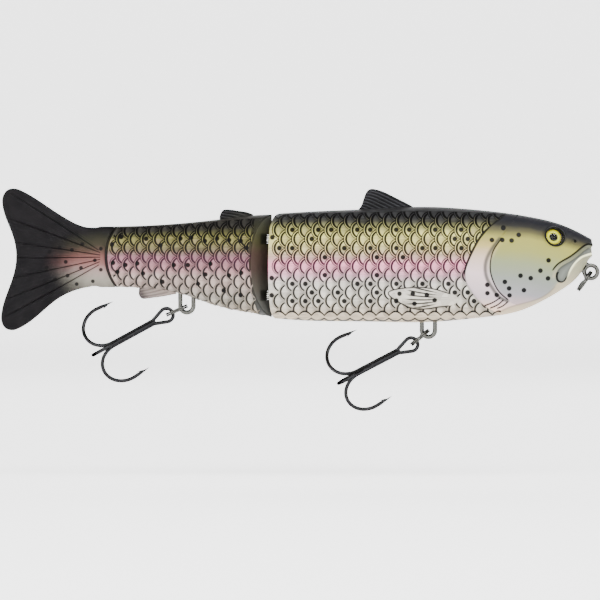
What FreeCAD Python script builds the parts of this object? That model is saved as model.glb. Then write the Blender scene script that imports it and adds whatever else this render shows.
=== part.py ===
import FreeCAD, Part
import math
import os

# A two-piece jointed glide bait with two treble hooks, about 190 mm long.
# +X runs to the nose, +Y to the fish's left and +Z up. The origin is the centre of the line-tie eye
# under the chin. Hooks and rings are placed where they trail behind a bait that is being pulled.

V = FreeCAD.Vector
DOC = FreeCAD.newDocument("glide_bait")
ACROSS = V(0, 1, 0)
UP = V(0, 0, 1)
RIGHT, LEFT = -1, 1
SIDES = (("right", RIGHT), ("left", LEFT))

# Upright oval sections of each moulding: place along X, middle height, half height, half width.
FRONT_SECTIONS = (
    (0.0, 7.75, 3.05, 2.9),
    (-1.2, 7.15, 4.25, 4.0),
    (-5.1, 5.35, 8.05, 5.7),
    (-11.8, 4.2, 11.7, 7.8),
    (-22.7, 2.85, 15.35, 10.4),
    (-35.5, 2.55, 17.25, 12.0),
    (-50.0, 2.4, 18.4, 12.6),
    (-66.0, 2.18, 18.22, 12.6),
    (-84.0, 1.88, 17.72, 12.1),
    (-105.0, 1.9, 16.4, 11.0),
)
REAR_SECTIONS = (
    (-100.0, 1.7, 16.7, 11.2),
    (-109.0, 2.4, 15.6, 10.6),
    (-120.0, 2.9, 13.8, 9.0),
    (-132.0, 4.3, 11.2, 7.0),
    (-144.0, 4.78, 9.98, 5.2),
    (-156.5, 4.83, 9.68, 4.0),
)
TAIL_SECTIONS = (
    (-150.0, 4.8, 9.75, 3.7),
    (-156.0, 4.8, 9.75, 3.2),
    (-160.0, 4.8, 9.75, 2.6),
)

DIMENSIONS = {
    # mouldings
    "reach": 80.0,
    "wall": 1.6,
    "play": 0.05,
    "peg_radius": 0.9,
    "peg_length": 2.0,
    # body hinge: upright axis, wedge nose and the face it swings in front of
    "hinge_at": -104.6,
    "nose_radius": 2.5,
    "face_offset": 2.8,
    "flank_angle": 35.0,
    "face_angle": 8.0,
    "pin_radius": 0.8,
    "pin_bottom": -12.4,
    "pin_length": 28.8,
    "eye_loop_radius": 1.47,
    "eye_wire": 1.2,
    "eye_pitch": 1.36,
    "eye_leg": 9.6,
    "anchor_length": 2.0,
    "anchor_width": 6.0,
    "anchor_height": 3.4,
    "slot_height": 3.3,
    "slot_depth": 2.4,
    "upper_eye_height": 10.5,
    "lower_eye_height": -7.5,
    # line tie
    "tie_radius": 2.1,
    "tie_wire": 1.3,
    "tie_leg_spread": 1.22,
    "tie_leg_length": 9.0,
    "tie_rise": 35.0,
    # hook hangers
    "hanger_radius": 2.1,
    "hanger_wire": 1.4,
    "hanger_leg": 9.0,
    "rear_hanger_leg": 6.6,
    # split rings
    "ring_radius": 3.32,
    "ring_wrap": 350.0,
    "ring_strip_half_width": 0.42,
    "ring_strip_thickness": 0.58,
    "ring_strip_gap": 0.04,
    "ring_crossover": 0.6,
    # treble hooks
    "hook_wire": 1.15,
    "hook_eye_radius": 2.15,
    "hook_eye_clearance": 1.8,
    "hook_neck": 7.5,
    "hook_offset": 0.62,
    "hook_bend_start": 22.1,
    "hook_bend_radius": 6.92,
    "hook_bend_turn": 185.0,
    "hook_leg": 1.4,
    "hook_point": 4.2,
    "hook_tip_radius": 0.04,
    "barb_length": 1.7,
    "barb_base": 0.42,
    # eyes
    "socket_radius": 2.95,
    "socket_depth": 2.1,
    "iris_radius": 2.88,
    "iris_thickness": 0.9,
    "dome_bulge_radius": 5.3,
    "dome_rim": 1.05,
    # ballast
    "ballast_radius": 3.4,
    "ballast_fore_length": 19.0,
    "ballast_aft_length": 24.0,
    "rear_ballast_radius": 2.5,
    "rear_ballast_length": 12.0,
    # fins
    "dorsal_thickness": 1.8,
    "small_fin_thickness": 1.4,
    "tail_blade_thickness": 2.2,
    "tail_tang_thickness": 3.0,
    "tail_tang_height": 8.0,
    "tail_tang_length": 10.0,
    "tail_pin_radius": 0.9,
    "tail_pin_length": 5.6,
    "seam_radius": 16.3,
    "seam_at": -155.5,
    "seam_height": 4.9,
    "knuckle_radius": 2.2,
    "knuckle_clearance": 0.3,
    "knuckle_at": -160.0,
    "knuckle_bottom": -4.6,
    "knuckle_height": 18.8,
}

FRONT_HANGER = V(-52.0, 0, -18.7)
REAR_HANGER = V(-129.3, 0, -10.9)
LINE_TIE = V(0, 0, 0)

# How far each ring and hook trails: degrees from straight down towards the tail.
LINE_RING_TRAIL = 35.0
FRONT_RING_TRAIL = 50.0
REAR_RING_TRAIL = 66.0
FRONT_HOOK_TRAIL = 62.4
REAR_HOOK_TRAIL = 61.4

# Distance from a wire eye's centre to the centre of the split ring hanging in it.
RING_DROP = 3.5

EYE_CENTRE = V(-11.8, 6.1, 11.4)
EYE_TOE = 14.0
EYE_TILT = 22.0

PEGS = ((-19.0, -3.0), (-52.0, 8.0), (-96.5, 4.0))
REAR_PEGS = ((-111.0, 10.5), (-143.5, 9.5))

# Ballast: where each weight's rear end is, and its height.
BALLAST_FORE = V(-46.0, 0, -8.4)
BALLAST_AFT = V(-82.0, 0, -8.4)
REAR_BALLAST = V(-124.0, 0, -4.2)
FRONT_BED = -8.4
REAR_BED = -4.2
FRONT_CHAMBERS = ((-47.0, -24.0), (-91.0, -57.0))
FRONT_ROOF = 15.0
REAR_CHAMBERS = ((-142.0, -113.0),)
REAR_ROOF = 12.0

# Fin outlines in the middle plane, as (x, z), from the root's rear end round to its front end.
DORSAL = (
    (-74.4, 20.0), (-72.7, 23.5), (-71.9, 25.4), (-71.1, 26.3), (-68.8, 26.4),
    (-65.6, 25.3), (-62.6, 23.8), (-59.4, 22.2), (-57.0, 20.9),
)
ADIPOSE = (
    (-118.9, 16.9), (-118.5, 18.7), (-117.6, 19.8), (-116.4, 20.0), (-113.0, 19.6),
    (-109.3, 18.9), (-108.0, 18.3),
)
ANAL = (
    (-144.4, -5.4), (-144.6, -7.4), (-143.9, -8.4), (-141.7, -8.5), (-136.5, -7.8), (-132.6, -7.0),
)
DORSAL_ROOT = 17.6
ADIPOSE_ROOT = 14.4
ANAL_ROOT = -3.2

# Tail blade outline from the upper root round the fork to the lower root.
TAIL_UPPER_EDGE = ((-158.1, 14.2), (-162.2, 14.5), (-166.1, 16.1), (-176.3, 22.6), (-183.0, 26.4))
TAIL_UPPER_TIP = ((-183.0, 26.4), (-186.6, 26.3), (-188.4, 23.4))
TAIL_TRAILING_EDGE = (
    (-188.4, 23.4), (-187.8, 19.0), (-185.2, 12.2), (-183.9, 6.0), (-184.8, -1.0),
    (-187.9, -9.8), (-188.8, -14.6),
)
TAIL_LOWER_TIP = ((-188.8, -14.6), (-187.2, -18.2), (-184.2, -18.6))
TAIL_LOWER_EDGE = ((-184.2, -18.6), (-178.0, -14.8), (-170.5, -8.6), (-164.0, -5.6), (-158.1, -4.8))


def fill_sheet():
    """Put every driving dimension in the spreadsheet, one row each."""
    sheet = DOC.addObject("Spreadsheet::Sheet", "Dims")
    rows = dict(DIMENSIONS)
    families = (("front", FRONT_SECTIONS), ("rear", REAR_SECTIONS), ("tail", TAIL_SECTIONS))
    for family, sections in families:
        for number, values in enumerate(sections):
            for quality, value in zip(("place", "middle", "tall", "wide"), values):
                rows[f"{family}_{number}_{quality}"] = value
    for row, (alias, value) in enumerate(rows.items(), start=1):
        sheet.set(f"A{row}", alias)
        sheet.set(f"B{row}", str(value))
        sheet.setAlias(f"B{row}", alias)
    DOC.recompute()
    return sheet


SHEET = fill_sheet()
PARTS = []


def dim(alias):
    """A driving dimension, as a number."""
    return float(SHEET.get(alias))


def at(position, rotation=None):
    return FreeCAD.Placement(position, rotation or FreeCAD.Rotation())


def bound(kind, name, placement, **sizes):
    """A primitive whose sizes are formulas of the sheet's cells, or numbers worked out from them."""
    piece = DOC.addObject(kind, name)
    for size, value in sizes.items():
        if isinstance(value, str):
            piece.setExpression(size, value)
        else:
            setattr(piece, size, value)
    piece.Placement = placement
    return piece


def rod(name, start, direction, radius, length):
    """A round rod from start along direction."""
    turn = FreeCAD.Rotation(UP, direction)
    return bound("Part::Cylinder", name, at(start, turn), Radius=radius, Height=length)


def arc_rod(name, centre, first, axis, radius, wire, sweep):
    """A bent round wire: it starts at the direction first and turns by sweep about axis."""
    turn = FreeCAD.Rotation(first, axis.cross(first), axis, "ZXY")
    return bound("Part::Torus", name, at(centre, turn), Radius1=radius, Radius2=wire, Angle3=sweep)


def block(name, low, length, width, height):
    return bound("Part::Box", name, at(low), Length=length, Width=width, Height=height)


def fuse(name, pieces):
    joined = DOC.addObject("Part::MultiFuse", name)
    joined.Shapes = pieces
    return joined


def fuse_in_turn(name, pieces):
    """Join the pieces one after another."""
    joined = pieces[0]
    for number, piece in enumerate(pieces[1:], start=1):
        step = DOC.addObject("Part::Fuse", f"{name}_{number}")
        step.Base = joined
        step.Tool = piece
        joined = step
    return joined


def cut(name, base, tool):
    result = DOC.addObject("Part::Cut", name)
    result.Base = base
    result.Tool = tool
    return result


def common(name, base, tool):
    result = DOC.addObject("Part::Common", name)
    result.Base = base
    result.Tool = tool
    return result


def finished(piece, label):
    """Name a sub-part: its label is its node and its file."""
    piece.Label = label
    PARTS.append(piece)
    return piece


# ---- mouldings ----------------------------------------------------------------------------------

def body_loft(family, count, inset, name):
    """A smooth solid through the family's oval sections, each made smaller by inset."""
    ovals = []
    for number in range(count):
        key = f"{family}_{number}"
        place = V(dim(key + "_place"), 0, dim(key + "_middle"))
        oval = bound(
            "Part::Ellipse", f"{name}_oval_{number}", at(place, FreeCAD.Rotation(ACROSS, -90)),
            MajorRadius=f"Dims.{key}_tall - {inset}", MinorRadius=f"Dims.{key}_wide - {inset}",
        )
        ovals.append(oval)
    loft = DOC.addObject("Part::Loft", name)
    loft.Sections = ovals
    loft.Solid = True
    loft.Ruled = False
    loft.MaxDegree = 2
    return loft


def half_space(name, side):
    """Everything on one side of the middle plane."""
    low = V(-200, min(side, 0) * dim("reach"), -dim("reach") / 2)
    return block(name, low, "Dims.reach * 3", "Dims.reach", "Dims.reach")


def plane_block(name, angle, side, offset, ahead):
    """A block whose near face stands upright at offset from the hinge axis.

    The face leans by angle towards the tail on the given side. The block lies ahead of the face
    or behind it.
    """
    lean = math.radians(angle)
    normal = V(math.cos(lean), side * math.sin(lean), 0)
    run = UP.cross(normal)
    corner = V(dim("hinge_at"), 0, -dim("reach") / 2) + normal * offset - run * (dim("reach") / 2)
    if not ahead:
        corner = corner - normal * dim("reach")
    turn = FreeCAD.Rotation(normal, run, UP, "ZXY")
    return bound(
        "Part::Box", name, at(corner, turn), Length="Dims.reach", Width="Dims.reach", Height="Dims.reach"
    )


def chambers(name, family, count, spans, floor, roof):
    """The sealed air chambers: the inner loft between solid bulkheads, a bed below and a roof."""
    inner = body_loft(family, count, "Dims.wall", name + "_inner")
    boxes = []
    for number, (rear, front) in enumerate(spans):
        low = V(rear, -dim("reach") / 2, floor)
        boxes.append(block(f"{name}_span_{number}", low, front - rear, "Dims.reach", roof - floor))
    room = boxes[0] if len(boxes) == 1 else fuse(name + "_spans", boxes)
    return common(name, inner, room)


def peg_rods(name, pegs, side, radius, length):
    """Locating pegs or their holes, standing across the middle plane."""
    rods = []
    for number, (x, z) in enumerate(pegs):
        start = V(x, -side * dim("peg_length") / 2, z)
        rods.append(rod(f"{name}_{number}", start, ACROSS * side, radius, length))
    return rods


def eye_direction(side):
    """Which way an eye looks: out, a little forward and a little up."""
    toe = math.radians(EYE_TOE)
    tilt = math.radians(EYE_TILT)
    return V(math.sin(toe) * math.cos(tilt), side * math.cos(toe) * math.cos(tilt), math.sin(tilt))


def eye_point(side, depth):
    """A point on an eye's axis, depth below the skin."""
    centre = V(EYE_CENTRE.x, side * EYE_CENTRE.y, EYE_CENTRE.z)
    return centre - eye_direction(side) * depth


def wire_eye_legs(name, radius):
    """The two legs of the line-tie eye, running up and back into the head."""
    rise = math.radians(dim("tie_rise"))
    along = V(-math.cos(rise), 0, math.sin(rise))
    apart = V(math.sin(rise), 0, math.cos(rise))
    spread = dim("tie_leg_spread")
    first = math.sqrt(dim("tie_radius") ** 2 - spread ** 2)
    legs = []
    for number, side in enumerate((-1, 1)):
        start = LINE_TIE + along * first + apart * (spread * side)
        legs.append(rod(f"{name}_{number}", start, along, radius, "Dims.tie_leg_length"))
    return legs


def hanger_pieces(name, centre, radius, leg):
    """A hook hanger's bow and its two upright legs."""
    rear = V(-1, 0, 0)
    bow = arc_rod(
        f"{name}_bow", centre, rear, V(0, -1, 0), "Dims.hanger_radius", radius, "180"
    )
    pieces = [bow]
    for number, side in enumerate((-1, 1)):
        start = centre + V(side * dim("hanger_radius"), 0, 0)
        pieces.append(rod(f"{name}_leg_{number}", start, UP, radius, leg))
    return pieces


def hinge_eye_pieces(name, height, radius, gap):
    """A hinge eye: two stacked wire bows round the pin, their legs set in one anchor block."""
    low = V(
        dim("hinge_at") + dim("eye_leg") - gap, -dim("anchor_width") / 2 - gap,
        height - dim("anchor_height") / 2 - gap,
    )
    pieces = [block(
        name + "_anchor", low, dim("anchor_length") + 2 * gap, dim("anchor_width") + 2 * gap,
        dim("anchor_height") + 2 * gap,
    )]
    for turn, offset in enumerate((-0.5, 0.5)):
        centre = V(dim("hinge_at"), 0, height + offset * dim("eye_pitch"))
        pieces.append(arc_rod(
            f"{name}_turn_{turn}", centre, ACROSS, UP, "Dims.eye_loop_radius", radius, "180"
        ))
        for side in (RIGHT, LEFT):
            start = centre + V(0, side * dim("eye_loop_radius"), 0)
            label = f"{name}_leg_{turn}_{side + 1}"
            length = "Dims.eye_leg + Dims.anchor_length / 2"
            pieces.append(rod(label, start, V(1, 0, 0), radius, length))
    return pieces


def fin_slot(name, outline, root, thickness):
    """The slot that a fin's root sits in, open to the outside."""
    rear = outline[0][0]
    front = outline[-1][0]
    middle = outline[0][1]
    gap = dim("play")
    deep = abs(middle - root) * 2
    low = min(root - gap, root + gap - deep) if root > middle else root - gap
    corner = V(rear - gap, -(dim_of(thickness) / 2 + gap), low)
    return block(name, corner, front - rear + 2 * gap, f"{thickness} + 2 * Dims.play", deep)


def dim_of(formula):
    """The value of a plain reference to a cell, such as Dims.wall."""
    return dim(formula.split(".")[1])


def front_pockets():
    """Everything cut out of both front shells."""
    hollow = chambers(
        "front_chambers", "front", len(FRONT_SECTIONS), FRONT_CHAMBERS, FRONT_BED, FRONT_ROOF
    )
    tools = [hollow]
    tie_hole = "Dims.tie_wire / 2 + Dims.play"
    tools.append(arc_rod("tie_hole", LINE_TIE, UP, ACROSS, "Dims.tie_radius", tie_hole, "360"))
    tools += wire_eye_legs("tie_leg_hole", tie_hole)
    hanger_hole = "Dims.hanger_wire / 2 + Dims.play"
    hanger_depth = "Dims.hanger_leg + Dims.play"
    tools += hanger_pieces("front_hanger_hole", FRONT_HANGER, hanger_hole, hanger_depth)
    eye_hole = "Dims.eye_wire / 2 + Dims.play"
    tools += hinge_eye_pieces("upper_eye_hole", dim("upper_eye_height"), eye_hole, dim("play"))
    tools += hinge_eye_pieces("lower_eye_hole", dim("lower_eye_height"), eye_hole, dim("play"))
    for name, side in SIDES:
        tools.append(rod(
            f"socket_{name}", eye_point(side, dim("socket_depth")), eye_direction(side),
            "Dims.socket_radius", "Dims.socket_depth * 3",
        ))
    bed = "Dims.ballast_radius + Dims.play"
    tools.append(rod("bed_fore", BALLAST_FORE, V(1, 0, 0), bed, "Dims.ballast_fore_length + Dims.play"))
    tools.append(rod("bed_aft", BALLAST_AFT, V(1, 0, 0), bed, "Dims.ballast_aft_length + Dims.play"))
    tools.append(fin_slot("dorsal_slot", DORSAL, DORSAL_ROOT, "Dims.dorsal_thickness"))
    return fuse("front_pockets", tools)


def front_shells():
    """The two glued halves of the front moulding; the right one carries the locating pegs."""
    outer = body_loft("front", len(FRONT_SECTIONS), "0", "front_outer")
    pockets = front_pockets()
    halves = {}
    for name, side in SIDES:
        half = common(f"front_half_{name}", outer, half_space(f"front_side_{name}", side))
        face = plane_block(
            f"front_face_{name}", dim("face_angle"), side, dim("face_offset"), ahead=False
        )
        trimmed = cut(f"front_trimmed_{name}", half, face)
        halves[name] = cut(f"front_hollow_{name}", trimmed, pockets)
    pegs = peg_rods("front_peg", PEGS, LEFT, "Dims.peg_radius", "Dims.peg_length")
    holes = peg_rods(
        "front_peg_hole", PEGS, LEFT, "Dims.peg_radius + Dims.play", "Dims.peg_length + Dims.play"
    )
    finished(fuse("front_shell_right", [halves["right"]] + pegs), "front_shell_right")
    bored = cut("front_shell_left", halves["left"], fuse("front_peg_holes", holes))
    finished(bored, "front_shell_left")


def rear_envelope():
    """The rear moulding's outside: wedge nose at the hinge, round seam edge at the tail."""
    outer = body_loft("rear", len(REAR_SECTIONS), "0", "rear_outer")
    lean = math.radians(dim("flank_angle"))
    tangent = dim("hinge_at") + dim("nose_radius") * math.cos(lean)
    reach = dim("reach")
    corner = V(tangent - reach, -reach / 2, -reach / 2)
    behind = block("behind_nose", corner, "Dims.reach", "Dims.reach", "Dims.reach")
    nose = rod("wedge_nose", V(dim("hinge_at"), 0, -reach / 2), UP, "Dims.nose_radius", "Dims.reach")
    kept = common("nosed", outer, fuse("behind_or_nose", [behind, nose]))
    for name, side in SIDES:
        flank = plane_block(f"flank_{name}", dim("flank_angle"), side, dim("nose_radius"), ahead=True)
        kept = cut(f"flanked_{name}", kept, flank)
    return cut("rear_envelope", kept, seam_tool("body_seam", 0.0))


def seam_tool(name, shrink):
    """What lies behind the round seam between the rear moulding and the tail fin."""
    reach = dim("reach")
    centre = V(dim("seam_at") + dim("seam_radius"), 0, dim("seam_height"))
    radius = f"Dims.seam_radius + {shrink}"
    drum = rod(name + "_drum", centre - ACROSS * (reach / 2), ACROSS, radius, "Dims.reach")
    low = V(dim("seam_at") - reach + 6.0, -reach / 2, -reach / 2)
    beyond = block(name + "_beyond", low, "Dims.reach", "Dims.reach", "Dims.reach")
    return cut(name, beyond, drum)


def rear_pockets():
    """Everything cut out of both rear shells."""
    tools = [chambers("rear_chambers", "rear", len(REAR_SECTIONS), REAR_CHAMBERS, REAR_BED, REAR_ROOF)]
    reach = dim("reach")
    for name in ("upper", "lower"):
        height = dim(f"{name}_eye_height") - dim("slot_height") / 2
        low = V(dim("hinge_at") - dim("slot_depth"), -reach / 2, height)
        tools.append(block(f"{name}_slot", low, "Dims.reach", "Dims.reach", "Dims.slot_height"))
    pin_start = V(dim("hinge_at"), 0, dim("pin_bottom") - dim("play"))
    tools.append(rod(
        "pin_hole", pin_start, UP, "Dims.pin_radius + Dims.play", "Dims.pin_length + 2 * Dims.play"
    ))
    hanger_hole = "Dims.hanger_wire / 2 + Dims.play"
    hanger_depth = "Dims.rear_hanger_leg + Dims.play"
    tools += hanger_pieces("rear_hanger_hole", REAR_HANGER, hanger_hole, hanger_depth)
    tools.append(rod(
        "rear_bed", REAR_BALLAST, V(1, 0, 0), "Dims.rear_ballast_radius + Dims.play",
        "Dims.rear_ballast_length + Dims.play",
    ))
    tools.append(fin_slot("adipose_slot", ADIPOSE, ADIPOSE_ROOT, "Dims.small_fin_thickness"))
    tools.append(fin_slot("anal_slot", ANAL, ANAL_ROOT, "Dims.small_fin_thickness"))
    tools.append(tang_block("tang_pocket", "+ 2 * Dims.play", dim("play")))
    half_pin = dim("tail_pin_length") / 2
    tools.append(rod(
        "tail_pin_hole", tail_pin_centre() - ACROSS * (half_pin + dim("play")), ACROSS,
        "Dims.tail_pin_radius + Dims.play", "Dims.tail_pin_length + 2 * Dims.play",
    ))
    return fuse("rear_pockets", tools)


def rear_shells():
    """The two glued halves of the rear moulding; the right one carries the locating pegs."""
    envelope = rear_envelope()
    pockets = rear_pockets()
    halves = {}
    for name, side in SIDES:
        half = common(f"rear_half_{name}", envelope, half_space(f"rear_side_{name}", side))
        halves[name] = cut(f"rear_hollow_{name}", half, pockets)
    pegs = peg_rods("rear_peg", REAR_PEGS, LEFT, "Dims.peg_radius", "Dims.peg_length")
    holes = peg_rods(
        "rear_peg_hole", REAR_PEGS, LEFT, "Dims.peg_radius + Dims.play", "Dims.peg_length + Dims.play"
    )
    finished(fuse("rear_shell_right", [halves["right"]] + pegs), "rear_shell_right")
    finished(cut("rear_shell_left", halves["left"], fuse("rear_peg_holes", holes)), "rear_shell_left")


# ---- wire parts ---------------------------------------------------------------------------------

def line_tie_eye():
    wire = "Dims.tie_wire / 2"
    loop = arc_rod("tie_loop", LINE_TIE, UP, ACROSS, "Dims.tie_radius", wire, "360")
    finished(fuse_in_turn("tie", [loop] + wire_eye_legs("tie_leg", wire)), "line_tie_eye")


def hook_hanger(label, centre, leg):
    pieces = hanger_pieces(label + "_piece", centre, "Dims.hanger_wire / 2", leg)
    finished(fuse_in_turn(label, pieces), label)


def hinge_eye(label, height):
    pieces = hinge_eye_pieces(label + "_piece", height, "Dims.eye_wire / 2", 0.0)
    finished(fuse_in_turn(label, pieces), label)


def hinge_pin():
    start = V(dim("hinge_at"), 0, dim("pin_bottom"))
    finished(rod("hinge_pin", start, UP, "Dims.pin_radius", "Dims.pin_length"), "hinge_pin")


def trail_direction(angle):
    """Down, swung towards the tail by angle."""
    return V(-math.sin(math.radians(angle)), 0, -math.cos(math.radians(angle)))


def split_ring(label, hung_from, trail):
    """A split ring: a flat steel strip wound nearly twice, hanging in a wire eye.

    Two stacked layers are joined by one crossover, on the ring's far side.
    """
    outer = "Dims.ring_radius + Dims.ring_strip_half_width"
    inner = "Dims.ring_radius - Dims.ring_strip_half_width"
    thick = "Dims.ring_strip_thickness"
    gap = dim("ring_strip_gap")
    lowest = -dim("ring_strip_thickness") - gap / 2
    turns = []
    for number, (low, first) in enumerate(((lowest, 0.0), (gap / 2, 360.0 - dim("ring_wrap")))):
        turn = FreeCAD.Rotation(UP, first)
        turns.append(bound(
            "Part::Cylinder", f"{label}_turn_{number}", at(V(0, 0, low), turn),
            Radius=outer, Height=thick, Angle="Dims.ring_wrap",
        ))
    half_crossover = dim("ring_crossover") / 2
    crossover = block(
        label + "_crossover", V(dim("ring_radius") / 2, -half_crossover, lowest),
        "Dims.ring_radius / 2 + Dims.ring_strip_half_width - Dims.ring_strip_gap / 2",
        "Dims.ring_crossover", -2 * lowest,
    )
    wound = fuse_in_turn(label + "_wound", turns + [crossover])
    hole = rod(label + "_hole", V(0, 0, 2 * lowest), UP, inner, -4 * lowest)
    ring = cut(label, wound, hole)
    down = trail_direction(trail)
    facing = FreeCAD.Rotation(ACROSS, down, ACROSS.cross(down), "ZXY")
    ring.Placement = at(hung_from + down * RING_DROP, facing)
    finished(ring, label)


def hook_pivot(hanger, ring_trail):
    """Where a hook's eye rests in its ring: the centre of the ring's far wire."""
    return hanger + trail_direction(ring_trail) * (RING_DROP + dim("ring_radius"))


def hook_eye(name):
    """The teardrop eye, drawn about the ring wire it hangs on, with the shank pointing down."""
    radius = dim("hook_eye_radius")
    tip = dim("hook_eye_clearance") - radius
    centre = V(0, 0, tip)
    neck = V(dim("hook_offset") * math.cos(math.radians(30)), 0, hook_depth(dim("hook_neck")))
    gap = (neck - centre).Length
    spread = math.atan2(neck.x, centre.z - neck.z) + math.acos(radius / gap)
    straight = math.sqrt(gap ** 2 - radius ** 2)
    sweep = 360 - 2 * math.degrees(spread)
    wire = "Dims.hook_wire / 2"
    pieces = []
    first = V(math.sin(spread), 0, -math.cos(spread))
    pieces.append(arc_rod(name + "_bow", centre, first, -ACROSS, "Dims.hook_eye_radius", wire, sweep))
    for side in (-1, 1):
        start = centre + V(side * first.x, 0, first.z) * radius
        end = V(side * neck.x, 0, neck.z)
        leg = rod(f"{name}_leg_{side + 1}", start, end - start, wire, straight)
        ball = bound("Part::Sphere", f"{name}_neck_{side + 1}", at(end), Radius=wire)
        pieces += [leg, ball]
    return pieces


def hook_depth(from_eye):
    """Height of a point of the hook, given its distance from the outside of the eye's tip."""
    pivot = dim("hook_wire") / 2 + dim("hook_eye_clearance")
    return pivot - from_eye


def hook_prong(name, outward):
    """One shank, round bend, point and barb, in the plane of outward and the shank."""
    wire = "Dims.hook_wire / 2"
    offset = dim("hook_offset")
    radius = dim("hook_bend_radius")
    down = V(0, 0, -1)
    top = outward * offset + UP * hook_depth(dim("hook_neck"))
    shank = rod(name + "_shank", top, down, wire, "Dims.hook_bend_start - Dims.hook_neck")
    centre = outward * (offset + radius) + UP * hook_depth(dim("hook_bend_start"))
    bend = arc_rod(
        name + "_bend", centre, -outward, (-outward).cross(down), "Dims.hook_bend_radius", wire,
        "Dims.hook_bend_turn",
    )
    turn = math.radians(dim("hook_bend_turn"))
    leg_start = centre + (-outward) * (radius * math.cos(turn)) + down * (radius * math.sin(turn))
    leg_way = outward * math.sin(turn) + down * math.cos(turn)
    leg = rod(name + "_leg", leg_start, leg_way, wire, "Dims.hook_leg")
    point_start = leg_start + leg_way * dim("hook_leg")
    point = bound(
        "Part::Cone", name + "_point", at(point_start, FreeCAD.Rotation(UP, leg_way)),
        Radius1=wire, Radius2="Dims.hook_tip_radius", Height="Dims.hook_point",
    )
    barb_start = point_start + leg_way * (dim("hook_point") * 0.45) + outward * -0.1
    barb_way = leg_way * -0.86 - outward * 0.5
    barb = bound(
        "Part::Cone", name + "_barb", at(barb_start, FreeCAD.Rotation(UP, barb_way)),
        Radius1="Dims.barb_base", Radius2="Dims.hook_tip_radius", Height="Dims.barb_length",
    )
    return [shank, bend, leg, point, barb]


def treble_hook(label, pivot, trail):
    """Three prongs brazed round one shank: one points to the fish's right, two up and down behind."""
    pieces = hook_eye(label + "_eye")
    for number in range(3):
        angle = math.radians(-90 + 120 * number)
        pieces += hook_prong(f"{label}_prong_{number}", V(math.cos(angle), math.sin(angle), 0))
    braze_top = V(0, 0, hook_depth(dim("hook_neck")) + 0.8)
    pieces.append(rod(
        label + "_braze", braze_top, V(0, 0, -1), "Dims.hook_offset",
        "Dims.hook_bend_start - Dims.hook_neck",
    ))
    hook = fuse_in_turn(label, pieces)
    hook.Placement = at(pivot, FreeCAD.Rotation(ACROSS, trail))
    finished(hook, label)


# ---- eyes, ballast and fins ---------------------------------------------------------------------

def eye(name, side):
    """A printed iris disc in its socket, and the clear dome on it."""
    way = eye_direction(side)
    bottom = eye_point(side, dim("socket_depth"))
    iris = rod(f"eye_iris_{name}", bottom, way, "Dims.iris_radius", "Dims.iris_thickness")
    finished(iris, f"eye_iris_{name}")
    base = eye_point(side, dim("socket_depth") - dim("iris_thickness"))
    bulge = dim("dome_bulge_radius")
    drop = math.sqrt(bulge ** 2 - dim("iris_radius") ** 2)
    ball_centre = base + way * (dim("dome_rim") - drop)
    column = rod(f"dome_column_{name}", base, way, "Dims.iris_radius", "Dims.dome_bulge_radius")
    ball = bound("Part::Sphere", f"dome_ball_{name}", at(ball_centre), Radius="Dims.dome_bulge_radius")
    finished(common(f"eye_dome_{name}", column, ball), f"eye_dome_{name}")


def ballast(label, start, radius, length):
    """A cast weight with chamfered ends, lying along the bottom of its chamber."""
    bar = rod(label + "_bar", start, V(1, 0, 0), radius, length)
    DOC.recompute()
    edges = [
        (number, 0.5, 0.5)
        for number, edge in enumerate(bar.Shape.Edges, start=1)
        if isinstance(edge.Curve, Part.Circle)
    ]
    weight = DOC.addObject("Part::Chamfer", label)
    weight.Base = bar
    weight.Edges = edges
    finished(weight, label)


def middle_plane_sketch(body, name, edges):
    """A closed outline in the body's own middle plane."""
    sketch = body.newObject("Sketcher::SketchObject", name)
    plane = [feature for feature in body.Origin.OriginFeatures if feature.Role == "XZ_Plane"][0]
    sketch.AttachmentSupport = [(plane, "")]
    sketch.MapMode = "FlatFace"
    for edge in edges:
        sketch.addGeometry(edge)
    return sketch


def smooth(points):
    curve = Part.BSplineCurve()
    curve.interpolate([V(x, z, 0) for x, z in points])
    return curve


def straight(start, end):
    return Part.LineSegment(V(*start, 0), V(*end, 0))


def pad(body, name, sketch, thickness):
    feature = body.newObject("PartDesign::Pad", name)
    feature.Profile = sketch
    feature.Midplane = True
    feature.setExpression("Length", thickness)
    return feature


def small_fin(label, outline, root, thickness):
    """A soft fin with its curved edge outside and a straight root down in its slot."""
    body = DOC.addObject("PartDesign::Body", label)
    rear, front = outline[0], outline[-1]
    edges = [
        smooth(outline),
        straight(front, (front[0], root)),
        straight((front[0], root), (rear[0], root)),
        straight((rear[0], root), rear),
    ]
    pad(body, label + "_pad", middle_plane_sketch(body, label + "_outline", edges), thickness)
    finished(body, label)


def tail_pin_centre():
    return V(dim("seam_at") + dim("tail_tang_length") * 0.55, 0, dim("seam_height"))


def tang_block(name, extra, gap):
    """The tang that plugs the tail fin into the rear moulding."""
    side = -dim("tail_tang_thickness") / 2 - gap
    bottom = dim("seam_height") - dim("tail_tang_height") / 2 - gap
    low = V(dim("seam_at"), side, bottom)
    return block(
        name, low, f"Dims.tail_tang_length {extra} / 2",
        f"Dims.tail_tang_thickness {extra}", f"Dims.tail_tang_height {extra}",
    )


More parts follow.
